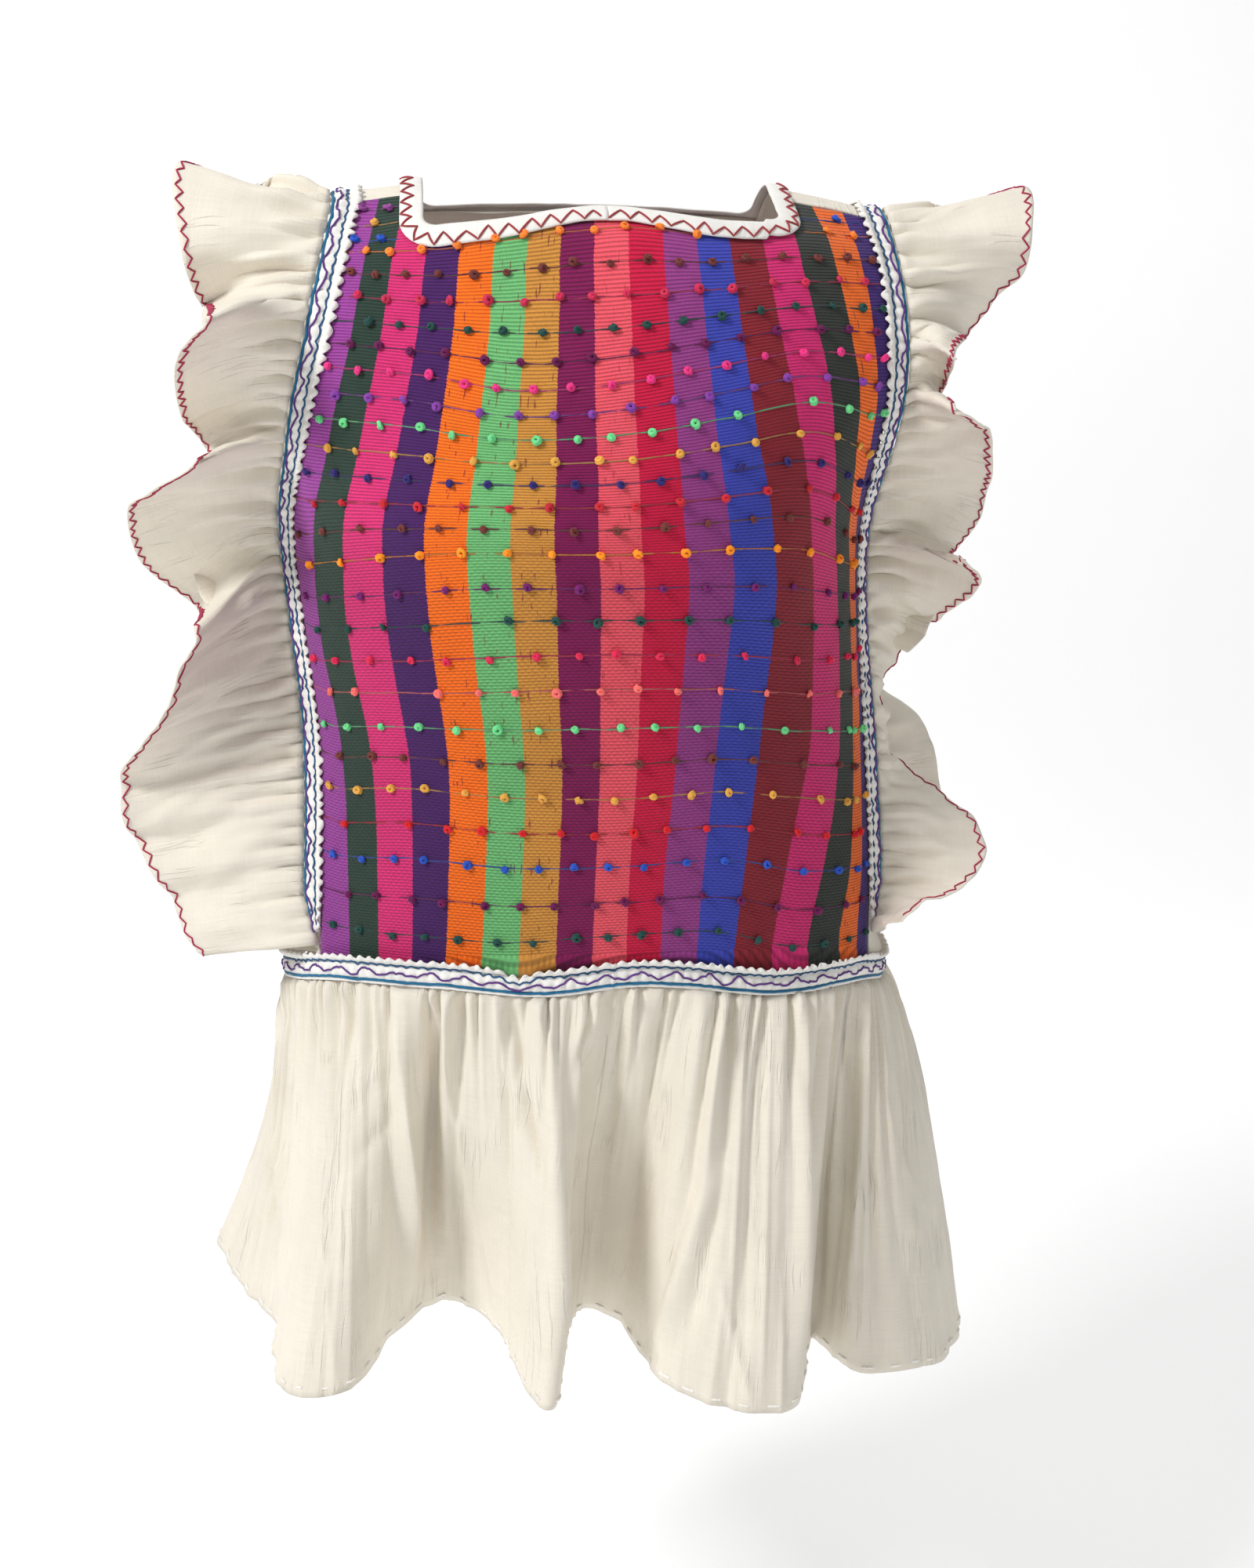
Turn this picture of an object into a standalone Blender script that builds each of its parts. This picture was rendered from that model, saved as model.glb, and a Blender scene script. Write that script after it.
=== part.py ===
"""Ruffled blouse: a striped front panel, a plain white back, smocked bands, flutter ruffles and a peplum.

Metres, +Z up. The wearer faces -Y and the viewer's right is +X. The origin lies between the shoulders,
at the height of the shoulder seams, where a wearer's shoulders hold the blouse up.
"""

import math

import bmesh
import bpy
from mathutils import Vector

# Cloth and seams: EDGE_GAP keeps the facets of two curved walls apart where one edge follows the other
WALL = 0.0012
SEAM = 0.0003
EDGE_GAP = 0.0008
SMOCK_HEIGHT = 0.0026
SMOCK_LOW = 0.5
BAND_WIDTH = 0.0125
BAND_END = 0.011
BAND_TAPER = 0.024
BAND_TIP = 0.006
NECK_BAND_WIDTH = 0.0120
NECK_FRONT_WIDTH = 0.0160

# How the blouse sits askew on its wearer: height, and sway towards the viewer's right
SWAY_ROWS = (
    (-0.700, 0.000),
    (-0.400, 0.002),
    (-0.300, 0.001),
    (-0.235, -0.004),
    (-0.175, -0.008),
    (-0.135, -0.004),
    (-0.090, 0.001),
    (-0.020, 0.005),
    (0.040, 0.005),
)

# Square neck: half-width of the opening, its shift from the panels' middle, where its back edge crosses the
# panel, the corner's radius, and how far the band covers the panels' edges
NECK_HALF_WIDTH = 0.0910
NECK_SHIFT = -0.009
NECK_BACK = 0.830
NECK_CORNER = 0.008
NECK_OVERLAP = 0.005
NECK_ROLL = (0.7, 1.0, 0.7)
NECK_THICKNESS = 0.0018

# Where the neck's front edge crosses the panel: share of the way from the middle to the corner, up
NECK_ROWS = (
    (-1.00, 0.917),
    (-0.68, 0.917),
    (-0.50, 0.920),
    (-0.33, 0.928),
    (-0.12, 0.937),
    (0.08, 0.938),
    (0.25, 0.933),
    (0.50, 0.925),
    (0.70, 0.925),
    (0.88, 0.931),
    (1.00, 0.939),
)

# Waist: half-width, front depth, back depth, seam heights and the band's height
WAIST_HALF_WIDTH = 0.178
WAIST_FRONT_DEPTH = 0.116
WAIST_BACK_DEPTH = 0.108
WAIST_SIDE_TOP = -0.430
WAIST_FRONT_LIFT = 0.032
WAIST_BACK_LIFT = 0.008
# How the smocking draws the seam up and down around the waist: degrees from the front, lift
WAIST_ROWS = (
    (-180, 0.0000),
    (-95, -0.0020),
    (-75, 0.0060),
    (-55, 0.0105),
    (-32, 0.0050),
    (-12, -0.0030),
    (3, 0.0010),
    (12, 0.0000),
    (30, -0.0046),
    (50, 0.0002),
    (60, 0.0012),
    (80, -0.0045),
    (95, -0.0020),
    (180, 0.0000),
)
WAIST_BAND_HEIGHT = 0.0155

# Side panels: share of the way up each panel where the armhole opens, and the scoop of that edge
UNDERARM_FRONT = 0.40
UNDERARM_BACK = 0.42
UNDERARM_SCOOP = 0.016
SIDE_BULGE = 0.007

# Gathers: how many, and how deep they are where they are sewn
RUFFLE_GATHERS = 24
RUFFLE_GATHER_DEPTH = 0.0016
PEPLUM_GATHERS = 44
PEPLUM_GATHER_DEPTH = 0.0022
GATHER_START = 0.35
FOLD_OPENING = 1.1
FOLD_LEAN = 0.45
RUFFLE_ROOT = 0.010
SEAM_LENGTH = 0.9

# Colours: red, green, blue
WHITE = (0.83, 0.80, 0.73)
STRIPED = (0.45, 0.10, 0.20)
BAND = (0.86, 0.85, 0.82)

# A panel's rows from the waist up: its edge, its centre line, and the half-angle of the arc between them
# edge_x, edge_y, edge_z, centre_y, centre_z, arc
FRONT_ROWS = (
    (0.1570, -0.0540, -0.4210, -0.1160, -0.3960, 52),
    (0.1565, -0.0480, -0.3720, -0.1180, -0.3500, 54),
    (0.1550, -0.0360, -0.3220, -0.1210, -0.3040, 58),
    (0.1555, -0.0220, -0.2830, -0.1240, -0.2640, 63),
    (0.1575, -0.0080, -0.2440, -0.1280, -0.2260, 67),
    (0.1585, -0.0040, -0.2050, -0.1310, -0.1900, 68),
    (0.1575, -0.0160, -0.1730, -0.1300, -0.1580, 64),
    (0.1550, -0.0340, -0.1420, -0.1240, -0.1300, 56),
    (0.1520, -0.0510, -0.1080, -0.1140, -0.1000, 47),
    (0.1470, -0.0580, -0.0800, -0.1000, -0.0700, 40),
    (0.1430, -0.0540, -0.0550, -0.0850, -0.0400, 34),
    (0.1390, -0.0440, -0.0340, -0.0680, -0.0190, 28),
    (0.1350, -0.0240, -0.0130, -0.0240, -0.0010, 20),
)
BACK_ROWS = (
    (0.1570, 0.0500, -0.4240, 0.1080, -0.4220, 52),
    (0.1550, 0.0480, -0.3700, 0.1020, -0.3700, 52),
    (0.1520, 0.0440, -0.3200, 0.0990, -0.3220, 54),
    (0.1490, 0.0420, -0.2700, 0.1000, -0.2750, 56),
    (0.1480, 0.0440, -0.2200, 0.1040, -0.2280, 54),
    (0.1480, 0.0500, -0.1750, 0.1060, -0.1820, 48),
    (0.1470, 0.0550, -0.1300, 0.1040, -0.1360, 42),
    (0.1450, 0.0560, -0.0850, 0.0960, -0.0900, 36),
    (0.1420, 0.0480, -0.0450, 0.0780, -0.0460, 30),
    (0.1380, 0.0240, -0.0200, 0.0400, -0.0130, 24),
    (0.1360, -0.0030, -0.0075, -0.0030, 0.0050, 20),
    (0.1350, -0.0240, -0.0130, -0.0240, -0.0010, 20),
)

# A ruffle's hem, from the front waist (0) over the shoulder (0.5) to the back waist (1): along the band,
# reach outwards, lift upwards and swing backwards from the seam
LEFT_HEM = (
    (0.000, 0.062, -0.015, 0.030),
    (0.050, 0.080, -0.018, 0.020),
    (0.075, 0.098, -0.018, 0.010),
    (0.105, 0.100, -0.018, -0.005),
    (0.120, 0.096, -0.018, -0.020),
    (0.145, 0.075, -0.018, -0.045),
    (0.185, 0.055, -0.022, -0.060),
    (0.212, 0.045, -0.028, -0.045),
    (0.226, 0.056, -0.045, 0.050),
    (0.238, 0.075, -0.034, 0.045),
    (0.255, 0.082, -0.022, 0.025),
    (0.275, 0.078, -0.015, 0.000),
    (0.290, 0.065, -0.011, -0.020),
    (0.304, 0.042, -0.008, -0.040),
    (0.317, 0.044, -0.020, 0.050),
    (0.340, 0.057, -0.016, 0.030),
    (0.365, 0.061, -0.014, 0.000),
    (0.390, 0.057, -0.012, -0.025),
    (0.411, 0.046, -0.011, -0.050),
    (0.424, 0.055, -0.015, 0.035),
    (0.440, 0.063, -0.013, 0.025),
    (0.465, 0.070, -0.006, 0.000),
    (0.500, 0.077, 0.018, 0.014),
)
RIGHT_HEM = (
    (0.000, 0.004, 0.018, -0.030),
    (0.020, 0.017, 0.013, -0.030),
    (0.036, 0.045, 0.003, -0.020),
    (0.052, 0.062, -0.002, -0.006),
    (0.067, 0.058, -0.005, 0.010),
    (0.082, 0.040, -0.012, 0.028),
    (0.100, 0.022, -0.015, 0.046),
    (0.125, 0.019, -0.018, 0.056),
    (0.146, 0.022, -0.018, 0.056),
    (0.170, 0.033, -0.018, 0.044),
    (0.194, 0.051, -0.016, 0.015),
    (0.215, 0.064, -0.009, -0.018),
    (0.231, 0.043, -0.005, -0.040),
    (0.245, 0.063, -0.023, 0.045),
    (0.267, 0.072, -0.011, 0.028),
    (0.296, 0.062, -0.004, 0.003),
    (0.324, 0.040, -0.002, -0.026),
    (0.340, 0.013, -0.003, -0.046),
    (0.355, 0.028, -0.015, 0.026),
    (0.370, 0.025, -0.008, 0.005),
    (0.386, 0.014, -0.006, -0.034),
    (0.400, 0.043, -0.008, 0.040),
    (0.427, 0.058, -0.002, 0.032),
    (0.450, 0.071, 0.000, 0.015),
    (0.480, 0.073, 0.008, -0.005),
    (0.500, 0.079, 0.021, 0.014),
)
# One lobe of the hem behind: share of the lobe, reach, lift, swing. Then where the lobes end along the band
BACK_LOBE = (
    (0.20, 0.050, 0.005, 0.030),
    (0.50, 0.062, 0.000, 0.004),
    (0.78, 0.044, -0.003, -0.020),
    (1.00, 0.022, -0.002, 0.046),
)
BACK_LOBE_ENDS = (0.50, 0.61, 0.73, 0.875, 1.00)

# The peplum's hem, a row for each fold's crest or trough, from the front round the viewer's right side:
# turn of the waist above it in degrees, and where the hem hangs: hem_x, hem_y, hem_z
PEPLUM_HEM = (
    (3, -0.004, -0.064, -0.642),
    (9, 0.015, -0.080, -0.642),
    (15, 0.029, -0.134, -0.642),
    (22, 0.052, -0.158, -0.645),
    (31, 0.083, -0.165, -0.649),
    (38, 0.104, -0.157, -0.652),
    (44, 0.119, -0.120, -0.656),
    (49, 0.131, -0.080, -0.660),
    (54, 0.140, -0.094, -0.661),
    (60, 0.155, -0.112, -0.664),
    (68, 0.186, -0.106, -0.668),
    (77, 0.216, -0.084, -0.677),
    (86, 0.238, -0.045, -0.682),
    (93, 0.242, -0.008, -0.682),
    (101, 0.212, 0.020, -0.678),
    (110, 0.216, 0.062, -0.674),
    (120, 0.184, 0.108, -0.668),
    (131, 0.146, 0.088, -0.662),
    (142, 0.118, 0.140, -0.660),
    (153, 0.074, 0.152, -0.656),
    (164, 0.046, 0.106, -0.654),
    (175, 0.014, 0.146, -0.654),
    (186, -0.030, 0.156, -0.654),
    (197, -0.060, 0.108, -0.654),
    (208, -0.090, 0.142, -0.656),
    (219, -0.126, 0.138, -0.656),
    (230, -0.146, 0.094, -0.656),
    (242, -0.184, 0.100, -0.656),
    (253, -0.212, 0.076, -0.650),
    (262, -0.228, 0.044, -0.644),
    (269, -0.222, 0.014, -0.642),
    (277, -0.206, -0.014, -0.652),
    (285, -0.188, -0.050, -0.649),
    (294, -0.184, -0.112, -0.638),
    (300, -0.174, -0.144, -0.634),
    (307, -0.153, -0.157, -0.628),
    (313, -0.134, -0.142, -0.628),
    (319, -0.119, -0.102, -0.630),
    (325, -0.101, -0.074, -0.630),
    (331, -0.082, -0.067, -0.630),
    (338, -0.062, -0.088, -0.631),
    (343, -0.051, -0.128, -0.633),
    (347, -0.044, -0.160, -0.635),
    (351, -0.034, -0.168, -0.636),
    (354, -0.026, -0.142, -0.636),
    (358, -0.016, -0.086, -0.639),
)

# Grid density: cells along and across each kind of piece
PANEL_CELLS = (18, 24)
BACK_CELLS = (14, 20)
STRAP_CELLS = (2, 6)
SIDE_CELLS = (6, 12)
RUFFLE_CELLS = (96, 4)
PEPLUM_CELLS = (88, 6)
WAIST_CELLS = 56
BAND_CELLS = 100
NECK_CELLS = 5
NECK_CORNER_CELLS = 3
NECK_SIDE_CELLS = 6


def spline(rows, station):
    """The columns after the first, at this value of the first, on a smooth curve through the rows."""
    last = len(rows) - 1
    index = 0
    while index < last - 1 and station > rows[index + 1][0]:
        index += 1
    before, start, end, after = (rows[min(max(index + step, 0), last)] for step in (-1, 0, 1, 2))
    span = end[0] - start[0]
    share = (station - start[0]) / span
    weights = (
        2 * share**3 - 3 * share**2 + 1,
        share**3 - 2 * share**2 + share,
        share**3 - share**2,
        3 * share**2 - 2 * share**3,
    )
    values = []
    for column in range(1, len(start)):
        slope_in = (end[column] - before[column]) / (end[0] - before[0]) * span
        slope_out = (after[column] - start[column]) / (after[0] - start[0]) * span
        parts = (start[column], slope_in, slope_out, end[column])
        values.append(sum(weight * part for weight, part in zip(weights, parts)))
    return values


def smooth_step(share):
    share = min(max(share, 0.0), 1.0)
    return share * share * (3 - 2 * share)


def gather(share):
    """How strongly the gathers stand at this share of the way from their seam to the hem."""
    return (1 - share) * min(1.0, GATHER_START + 3 * share)


def stationed(rows):
    """The rows with an even station from 0 to 1 in front."""
    return [(index / (len(rows) - 1), *row) for index, row in enumerate(rows)]


PANELS = {"front": stationed(FRONT_ROWS), "back": stationed(BACK_ROWS)}


def panel_point(face, across, up):
    """A point of the front or back: across is -1 to 1 between its edges, up is 0 at the waist, 1 at the seam."""
    edge_x, edge_y, edge_z, centre_y, centre_z, arc = spline(PANELS[face], up)
    arc = math.radians(arc)
    bend = (math.cos(across * arc) - math.cos(arc)) / (1 - math.cos(arc))
    height = centre_z + (edge_z - centre_z) * across**2
    depth = edge_y + (centre_y - edge_y) * bend
    return Vector((edge_x * math.sin(across * arc) / math.sin(arc), depth, height))


def across_at(face, x, up):
    """How far across the panel a given x lies."""
    edge_x, *_, arc = spline(PANELS[face], up)
    arc = math.radians(arc)
    return math.asin(x * math.sin(arc) / edge_x) / arc


def beyond_edge(face, up, width):
    """The value of across that lies this far past the panel's edge."""
    step = 0.02
    rate = (panel_point(face, 1 + step, up) - panel_point(face, 1, up)).length / step
    return 1 + width / rate


def band_point(side, along, width):
    """A point past the panels' edges: along runs from the front waist over the shoulder to the back waist."""
    face, up = ("front", 2 * along) if along <= 0.5 else ("back", 2 - 2 * along)
    point = panel_point(face, beyond_edge(face, up, width), up)
    return Vector((side * point.x, point.y, point.z))


def waist_point(turn, below):
    """A point of the waist seam: turn in degrees from the front, below its top edge."""
    angle = math.radians(turn)
    front = max(math.cos(angle), 0.0)
    back = max(-math.cos(angle), 0.0)
    lift = WAIST_FRONT_LIFT * front**2 + WAIST_BACK_LIFT * back**2
    depth = WAIST_FRONT_DEPTH if front else WAIST_BACK_DEPTH
    (drawn,) = spline(WAIST_ROWS, (turn + 180) % 360 - 180)
    height = WAIST_SIDE_TOP + lift + drawn - below
    return Vector((WAIST_HALF_WIDTH * math.sin(angle), -depth * math.cos(angle), height))


def worn(point):
    """The point where it hangs on the wearer, swayed with its height."""
    (sway,) = spline(SWAY_ROWS, point.z)
    return point + Vector((sway, 0.0, 0.0))


def band_width(along):
    """The armhole band's width, which tapers to nothing above the waist in front and behind."""
    end = min(along, 1 - along)
    return BAND_WIDTH * min(max((end - BAND_END) / BAND_TAPER, 0.0), 1.0)


def material(name, colour, roughness):
    made = bpy.data.materials.new(name)
    made.use_nodes = True
    shader = made.node_tree.nodes["Principled BSDF"]
    shader.inputs["Base Color"].default_value = (*colour, 1.0)
    shader.inputs["Roughness"].default_value = roughness
    return made


def sheet(name, cells, place, colour, ring=False, keep=None, raised=None, thickness=WALL):
    """A cloth wall: a grid whose points place puts at (along, across), made thick towards the outside."""
    columns, rows = cells
    shape = bmesh.new()
    layer = shape.verts.layers.deform.verify()
    bmesh.ops.create_grid(shape, x_segments=columns, y_segments=rows, size=0.5)
    cell_of = {}
    for vert in shape.verts:
        cell_of[vert] = (round((vert.co.x + 0.5) * columns), round((vert.co.y + 0.5) * rows))
    hidden = []
    for face in shape.faces if keep else ():
        column = sum(cell_of[vert][0] for vert in face.verts) / (4 * columns)
        row = sum(cell_of[vert][1] for vert in face.verts) / (4 * rows)
        if not keep(column, row):
            hidden.append(face)
    for vert in shape.verts:
        column, row = cell_of[vert]
        vert.co = worn(place(column / columns, row / rows))
        if raised:
            vert[layer][0] = raised(column, row)
    bmesh.ops.delete(shape, geom=hidden, context="FACES")
    if ring:
        bmesh.ops.remove_doubles(shape, verts=shape.verts, dist=0.0001)
    mesh = bpy.data.meshes.new(name)
    shape.to_mesh(mesh)
    shape.free()
    mesh.shade_smooth()
    mesh.materials.append(material(name, colour, 0.9))
    piece = bpy.data.objects.new(name, mesh)
    GARMENT.objects.link(piece)
    wall = piece.modifiers.new("Wall", "SOLIDIFY")
    wall.thickness = thickness
    wall.offset = 1.0
    if raised:
        piece.vertex_groups.new(name="Raised")
        wall.vertex_group = "Raised"
    return piece


def unit_out(face, across, up):
    """The outward direction of the front or back at this place."""
    step = 0.004
    over = panel_point(face, across + step, up) - panel_point(face, across - step, up)
    low, high = max(up - step, 0.0), min(up + step, 1.0)
    rise = panel_point(face, across, high) - panel_point(face, across, low)
    return over.cross(rise).normalized() * (1 if face == "front" else -1)


def raised_point(face, x, up, height):
    """A point that far outside the front or back panel's inner face."""
    across = across_at(face, x, up)
    return panel_point(face, across, up) + unit_out(face, across, up) * height


def waist_edge(point):
    """The point of the waistband's top edge under this one."""
    depth = WAIST_FRONT_DEPTH if point.y < 0 else WAIST_BACK_DEPTH
    turn = math.degrees(math.atan2(point.x / WAIST_HALF_WIDTH, -point.y / depth))
    return waist_point(turn, -EDGE_GAP - SEAM)


def up_rate(face, x, up):
    """Metres of cloth for one unit of up."""
    step = 0.01
    top = min(up + step, 1.0)
    return (raised_point(face, x, top, 0) - raised_point(face, x, top - 2 * step, 0)).length / (2 * step)


def neck_up(face, x):
    """Where the neck opening's front or back edge crosses the panel at this x."""
    if face == "back":
        return NECK_BACK
    share = (x - NECK_SHIFT) / NECK_HALF_WIDTH
    (up,) = spline(NECK_ROWS, min(max(share, -1.0), 1.0))
    return up


def build_panel(name, face, cells, colour):
    """The front or the back, cut square for the neck between its straps."""
    columns, rows = cells
    neck_columns, neck_rows = STRAP_CELLS
    cut = NECK_HALF_WIDTH + NECK_OVERLAP

    def place(column, row):
        step = (column if face == "front" else 1 - column) * columns
        share = row * rows / (rows - neck_rows)
        level = neck_up(face, 0.0) - NECK_OVERLAP / up_rate(face, 0.0, neck_up(face, 0.0))
        top = 1 - SEAM / 2 / up_rate(face, cut, 1.0)
        up = level * share if share <= 1 else level + (top - level) * (share - 1) * (rows / neck_rows - 1)
        edge = beyond_edge(face, up, -EDGE_GAP)
        left, right = (across_at(face, NECK_SHIFT + side * cut, up) for side in (-1, 1))
        if step <= neck_columns:
            across = -edge + (edge + left) * step / neck_columns
        elif step >= columns - neck_columns:
            across = edge - (edge - right) * (columns - step) / neck_columns
        else:
            across = left + (right - left) * (step - neck_columns) / (columns - 2 * neck_columns)
        x = min(max(panel_point(face, across, up).x, NECK_SHIFT - cut), NECK_SHIFT + cut)
        bend = neck_up(face, x) - neck_up(face, 0.0)
        up += bend * smooth_step(3 * share - 2) * smooth_step((1 - up) / (1 - level))
        point = panel_point(face, across, up)
        return waist_edge(point) if row == 0 else point

    def keep(column, row):
        in_neck = neck_columns < column * columns < columns - neck_columns
        return not (in_neck and row * rows > rows - neck_rows)

    return sheet(name, cells, place, colour, keep=keep)


def neck_half(side):
    """Half of the neck opening's edge, from the front centre to the back centre: face, x, up and the way out."""
    straight = NECK_HALF_WIDTH - NECK_CORNER
    path = []
    for face in ("front", "back"):
        corner_up = neck_up(face, NECK_SHIFT + side * NECK_HALF_WIDTH)
        rate = up_rate(face, NECK_SHIFT + side * straight, corner_up)
        part = []
        for step in range(NECK_CELLS):
            x = NECK_SHIFT + side * straight * step / NECK_CELLS
            part.append((face, x, neck_up(face, x), 0.0, -1.0))
        for step in range(NECK_CORNER_CELLS + 1):
            angle = math.radians(90 * step / NECK_CORNER_CELLS)
            x = straight + NECK_CORNER * math.sin(angle)
            up = corner_up + NECK_CORNER * (1 - math.cos(angle)) / rate
            part.append((face, NECK_SHIFT + side * x, up, side * math.sin(angle), -math.cos(angle)))
        start = part[-1][2]
        for step in range(1, NECK_SIDE_CELLS + 1):
            up = start + (1 - start) * step / NECK_SIDE_CELLS
            part.append((face, NECK_SHIFT + side * NECK_HALF_WIDTH, up, side, 0.0))
        path.append(part)
    front, back = path
    return front + back[-2::-1]


def build_neck_band():
    """The white band that lies on the panels round the neck opening."""
    right, left = neck_half(1), neck_half(-1)
    loop = right + left[-2::-1]
    count = len(loop) - 1

    def place(column, row):
        face, x, up, out_x, out_up = loop[round(column * count)]
        width = NECK_BAND_WIDTH * (1 - row)
        height = NECK_FRONT_WIDTH * (1 - row) if face == "front" else width
        up += out_up * height / up_rate(face, x, up)
        return raised_point(face, x + out_x * width, up, WALL + EDGE_GAP)

    return sheet("neck_band", (count, 2), place, BAND, ring=True, raised=neck_roll, thickness=NECK_THICKNESS)


def neck_roll(column, row):
    """The neck band's soft crown, as a share of its full thickness."""
    return NECK_ROLL[row]


def smocking(column, row):
    """The share of the full height: puffs stand in turn on either row, and the edges lie low."""
    return 1.0 if row == 1 and column % 2 else SMOCK_LOW


def build_armhole_band(name, side):
    """The smocked strip from the front waist over the shoulder to the back waist."""

    start = BAND_END + BAND_TIP

    def place(column, row):
        along = start + (1 - 2 * start) * (column if side < 0 else 1 - column)
        return band_point(side, along, band_width(along) * row)

    return sheet(name, (BAND_CELLS, 2), place, BAND, raised=smocking, thickness=SMOCK_HEIGHT)


def build_side_panel(name, side):
    """White cloth under the arm, between the bands, scooped at the armhole's foot."""

    def place(column, row):
        share = column if side > 0 else 1 - column
        ends = (UNDERARM_FRONT / 2 * row, 1 - UNDERARM_BACK / 2 * row)
        front, back = (band_point(side, end, band_width(end) + EDGE_GAP) for end in ends)
        point = front.lerp(back, share)
        arch = 4 * share * (1 - share)
        point.x += side * SIDE_BULGE * arch
        point.z -= UNDERARM_SCOOP * arch * row
        return waist_edge(point) if row == 0 else point

    return sheet(name, SIDE_CELLS, place, WHITE)


def hem_rows(front_rows):
    """A whole ruffle's hem: the side's own front, then the lobes behind."""
    rows = list(front_rows)
    for start, end in zip(BACK_LOBE_ENDS, BACK_LOBE_ENDS[1:]):
        for share, reach, lift, swing in BACK_LOBE:
            rows.append((start + (end - start) * share, reach, lift, swing))
    return rows


def even_stations(rows, count):
    """Stations along a hem that share its length and the seam's evenly, so that folds get their cells."""
    samples = 8 * count
    lengths = [0.0]
    last = Vector(spline(rows, 0.0))
    for step in range(1, samples + 1):
        point = Vector(spline(rows, step / samples))
        lengths.append(lengths[-1] + (point - last).length + SEAM_LENGTH / samples)
        last = point
    stations = []
    index = 0
    for step in range(count + 1):
        while index < samples and lengths[index] < lengths[-1] * step / count:
            index += 1
        stations.append(index / samples)
    return stations


def build_ruffle(name, side, front_rows):
    """A flutter sleeve gathered to the armhole band's outer edge."""
    hem = hem_rows(front_rows)
    stations = even_stations(hem, RUFFLE_CELLS[0])

    def place(column, row):
        step = round((column if side < 0 else 1 - column) * RUFFLE_CELLS[0])
        along = BAND_END + (1 - 2 * BAND_END) * stations[step]
        reach, lift, swing = spline(hem, along)
        face, up = ("front", 2 * along) if along <= 0.5 else ("back", 2 - 2 * along)
        across = beyond_edge(face, up, band_width(along) + EDGE_GAP)
        foot = panel_point(face, across, up) + unit_out(face, across, up) * (WALL + EDGE_GAP)
        foot.x *= side
        wave = math.sin(2 * math.pi * RUFFLE_GATHERS * step / RUFFLE_CELLS[0])
        puff = RUFFLE_GATHER_DEPTH * wave * gather(row)
        point = foot + Vector((side * reach * row**0.9, swing * row**1.5, lift * row**1.3))
        turn = math.pi * along
        return point + Vector((0.0, -math.cos(turn), math.sin(turn))) * (puff + RUFFLE_ROOT * row * (1 - row))

    return sheet(name, RUFFLE_CELLS, place, WHITE)


def build_waist_band(name, start, end):
    """Half of the smocked waistband, between two turns of the waist in degrees."""
    gap = math.degrees(SEAM / WAIST_FRONT_DEPTH)

    def place(column, row):
        turn = start + gap + (end - start - 2 * gap) * column
        return waist_point(turn, WAIST_BAND_HEIGHT * (1 - row))

    return sheet(name, (WAIST_CELLS, 2), place, BAND, raised=smocking, thickness=SMOCK_HEIGHT)


def build_peplum(name, start, end):
    """Half of the peplum: gathered at the waistband, its folds opening towards the hem."""
    closed = [*PEPLUM_HEM[-3:], *PEPLUM_HEM, *PEPLUM_HEM[:3]]
    turns = [-360] * 3 + [0] * len(PEPLUM_HEM) + [360] * 3
    rows = [(row[0] + turn, *row[1:]) for row, turn in zip(closed, turns)]
    gap = math.degrees(SEAM / WAIST_FRONT_DEPTH)

    def place(column, row):
        turn = end - gap - (end - start - 2 * gap) * column
        top = waist_point(turn, WAIST_BAND_HEIGHT + EDGE_GAP)
        hem = Vector(spline(rows, turn % 360))
        down = 1 - row
        opened = down ** (FOLD_OPENING - FOLD_LEAN * math.sin(math.radians(turn)))
        point = Vector((*top.xy.lerp(hem.xy, opened), top.z + (hem.z - top.z) * down))
        puff = PEPLUM_GATHER_DEPTH * math.sin(math.radians(turn) * PEPLUM_GATHERS) * gather(down)
        return point + Vector((top.x, top.y, 0.0)).normalized() * puff

    return sheet(name, PEPLUM_CELLS, place, WHITE)


def build():
    build_panel("front_panel", "front", PANEL_CELLS, STRIPED)
    build_panel("back_panel", "back", BACK_CELLS, WHITE)
    build_neck_band()
    for name, side, hem in (("left", -1, LEFT_HEM), ("right", 1, RIGHT_HEM)):
        build_armhole_band(f"armhole_band_{name}", side)
        build_side_panel(f"side_panel_{name}", side)
        build_ruffle(f"ruffle_{name}", side, hem)
    for name, start, end in (("front", -90, 90), ("back", 90, 270)):
        build_waist_band(f"waist_band_{name}", start, end)
        build_peplum(f"peplum_{name}", start, end)


for existing in list(bpy.data.objects):
    bpy.data.objects.remove(existing, do_unlink=True)
GARMENT = bpy.data.collections.new("Ruffled blouse")
bpy.context.scene.collection.children.link(GARMENT)
build()
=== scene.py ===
"""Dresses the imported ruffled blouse: striped front, white gauze, smocked bands, flutter ruffles and peplum.

Metres, +Z up. The wearer faces -Y and the viewer's right is +X. Each cloth lies on the form of the CAD solid
that it replaces, so the sizes down to the peplum's hem are the ones the solids were made from. The numbers
after them are for looks alone.
"""

import bisect
import functools
import math
import random

import bmesh
import bpy
from mathutils import Matrix, Vector, noise


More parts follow.
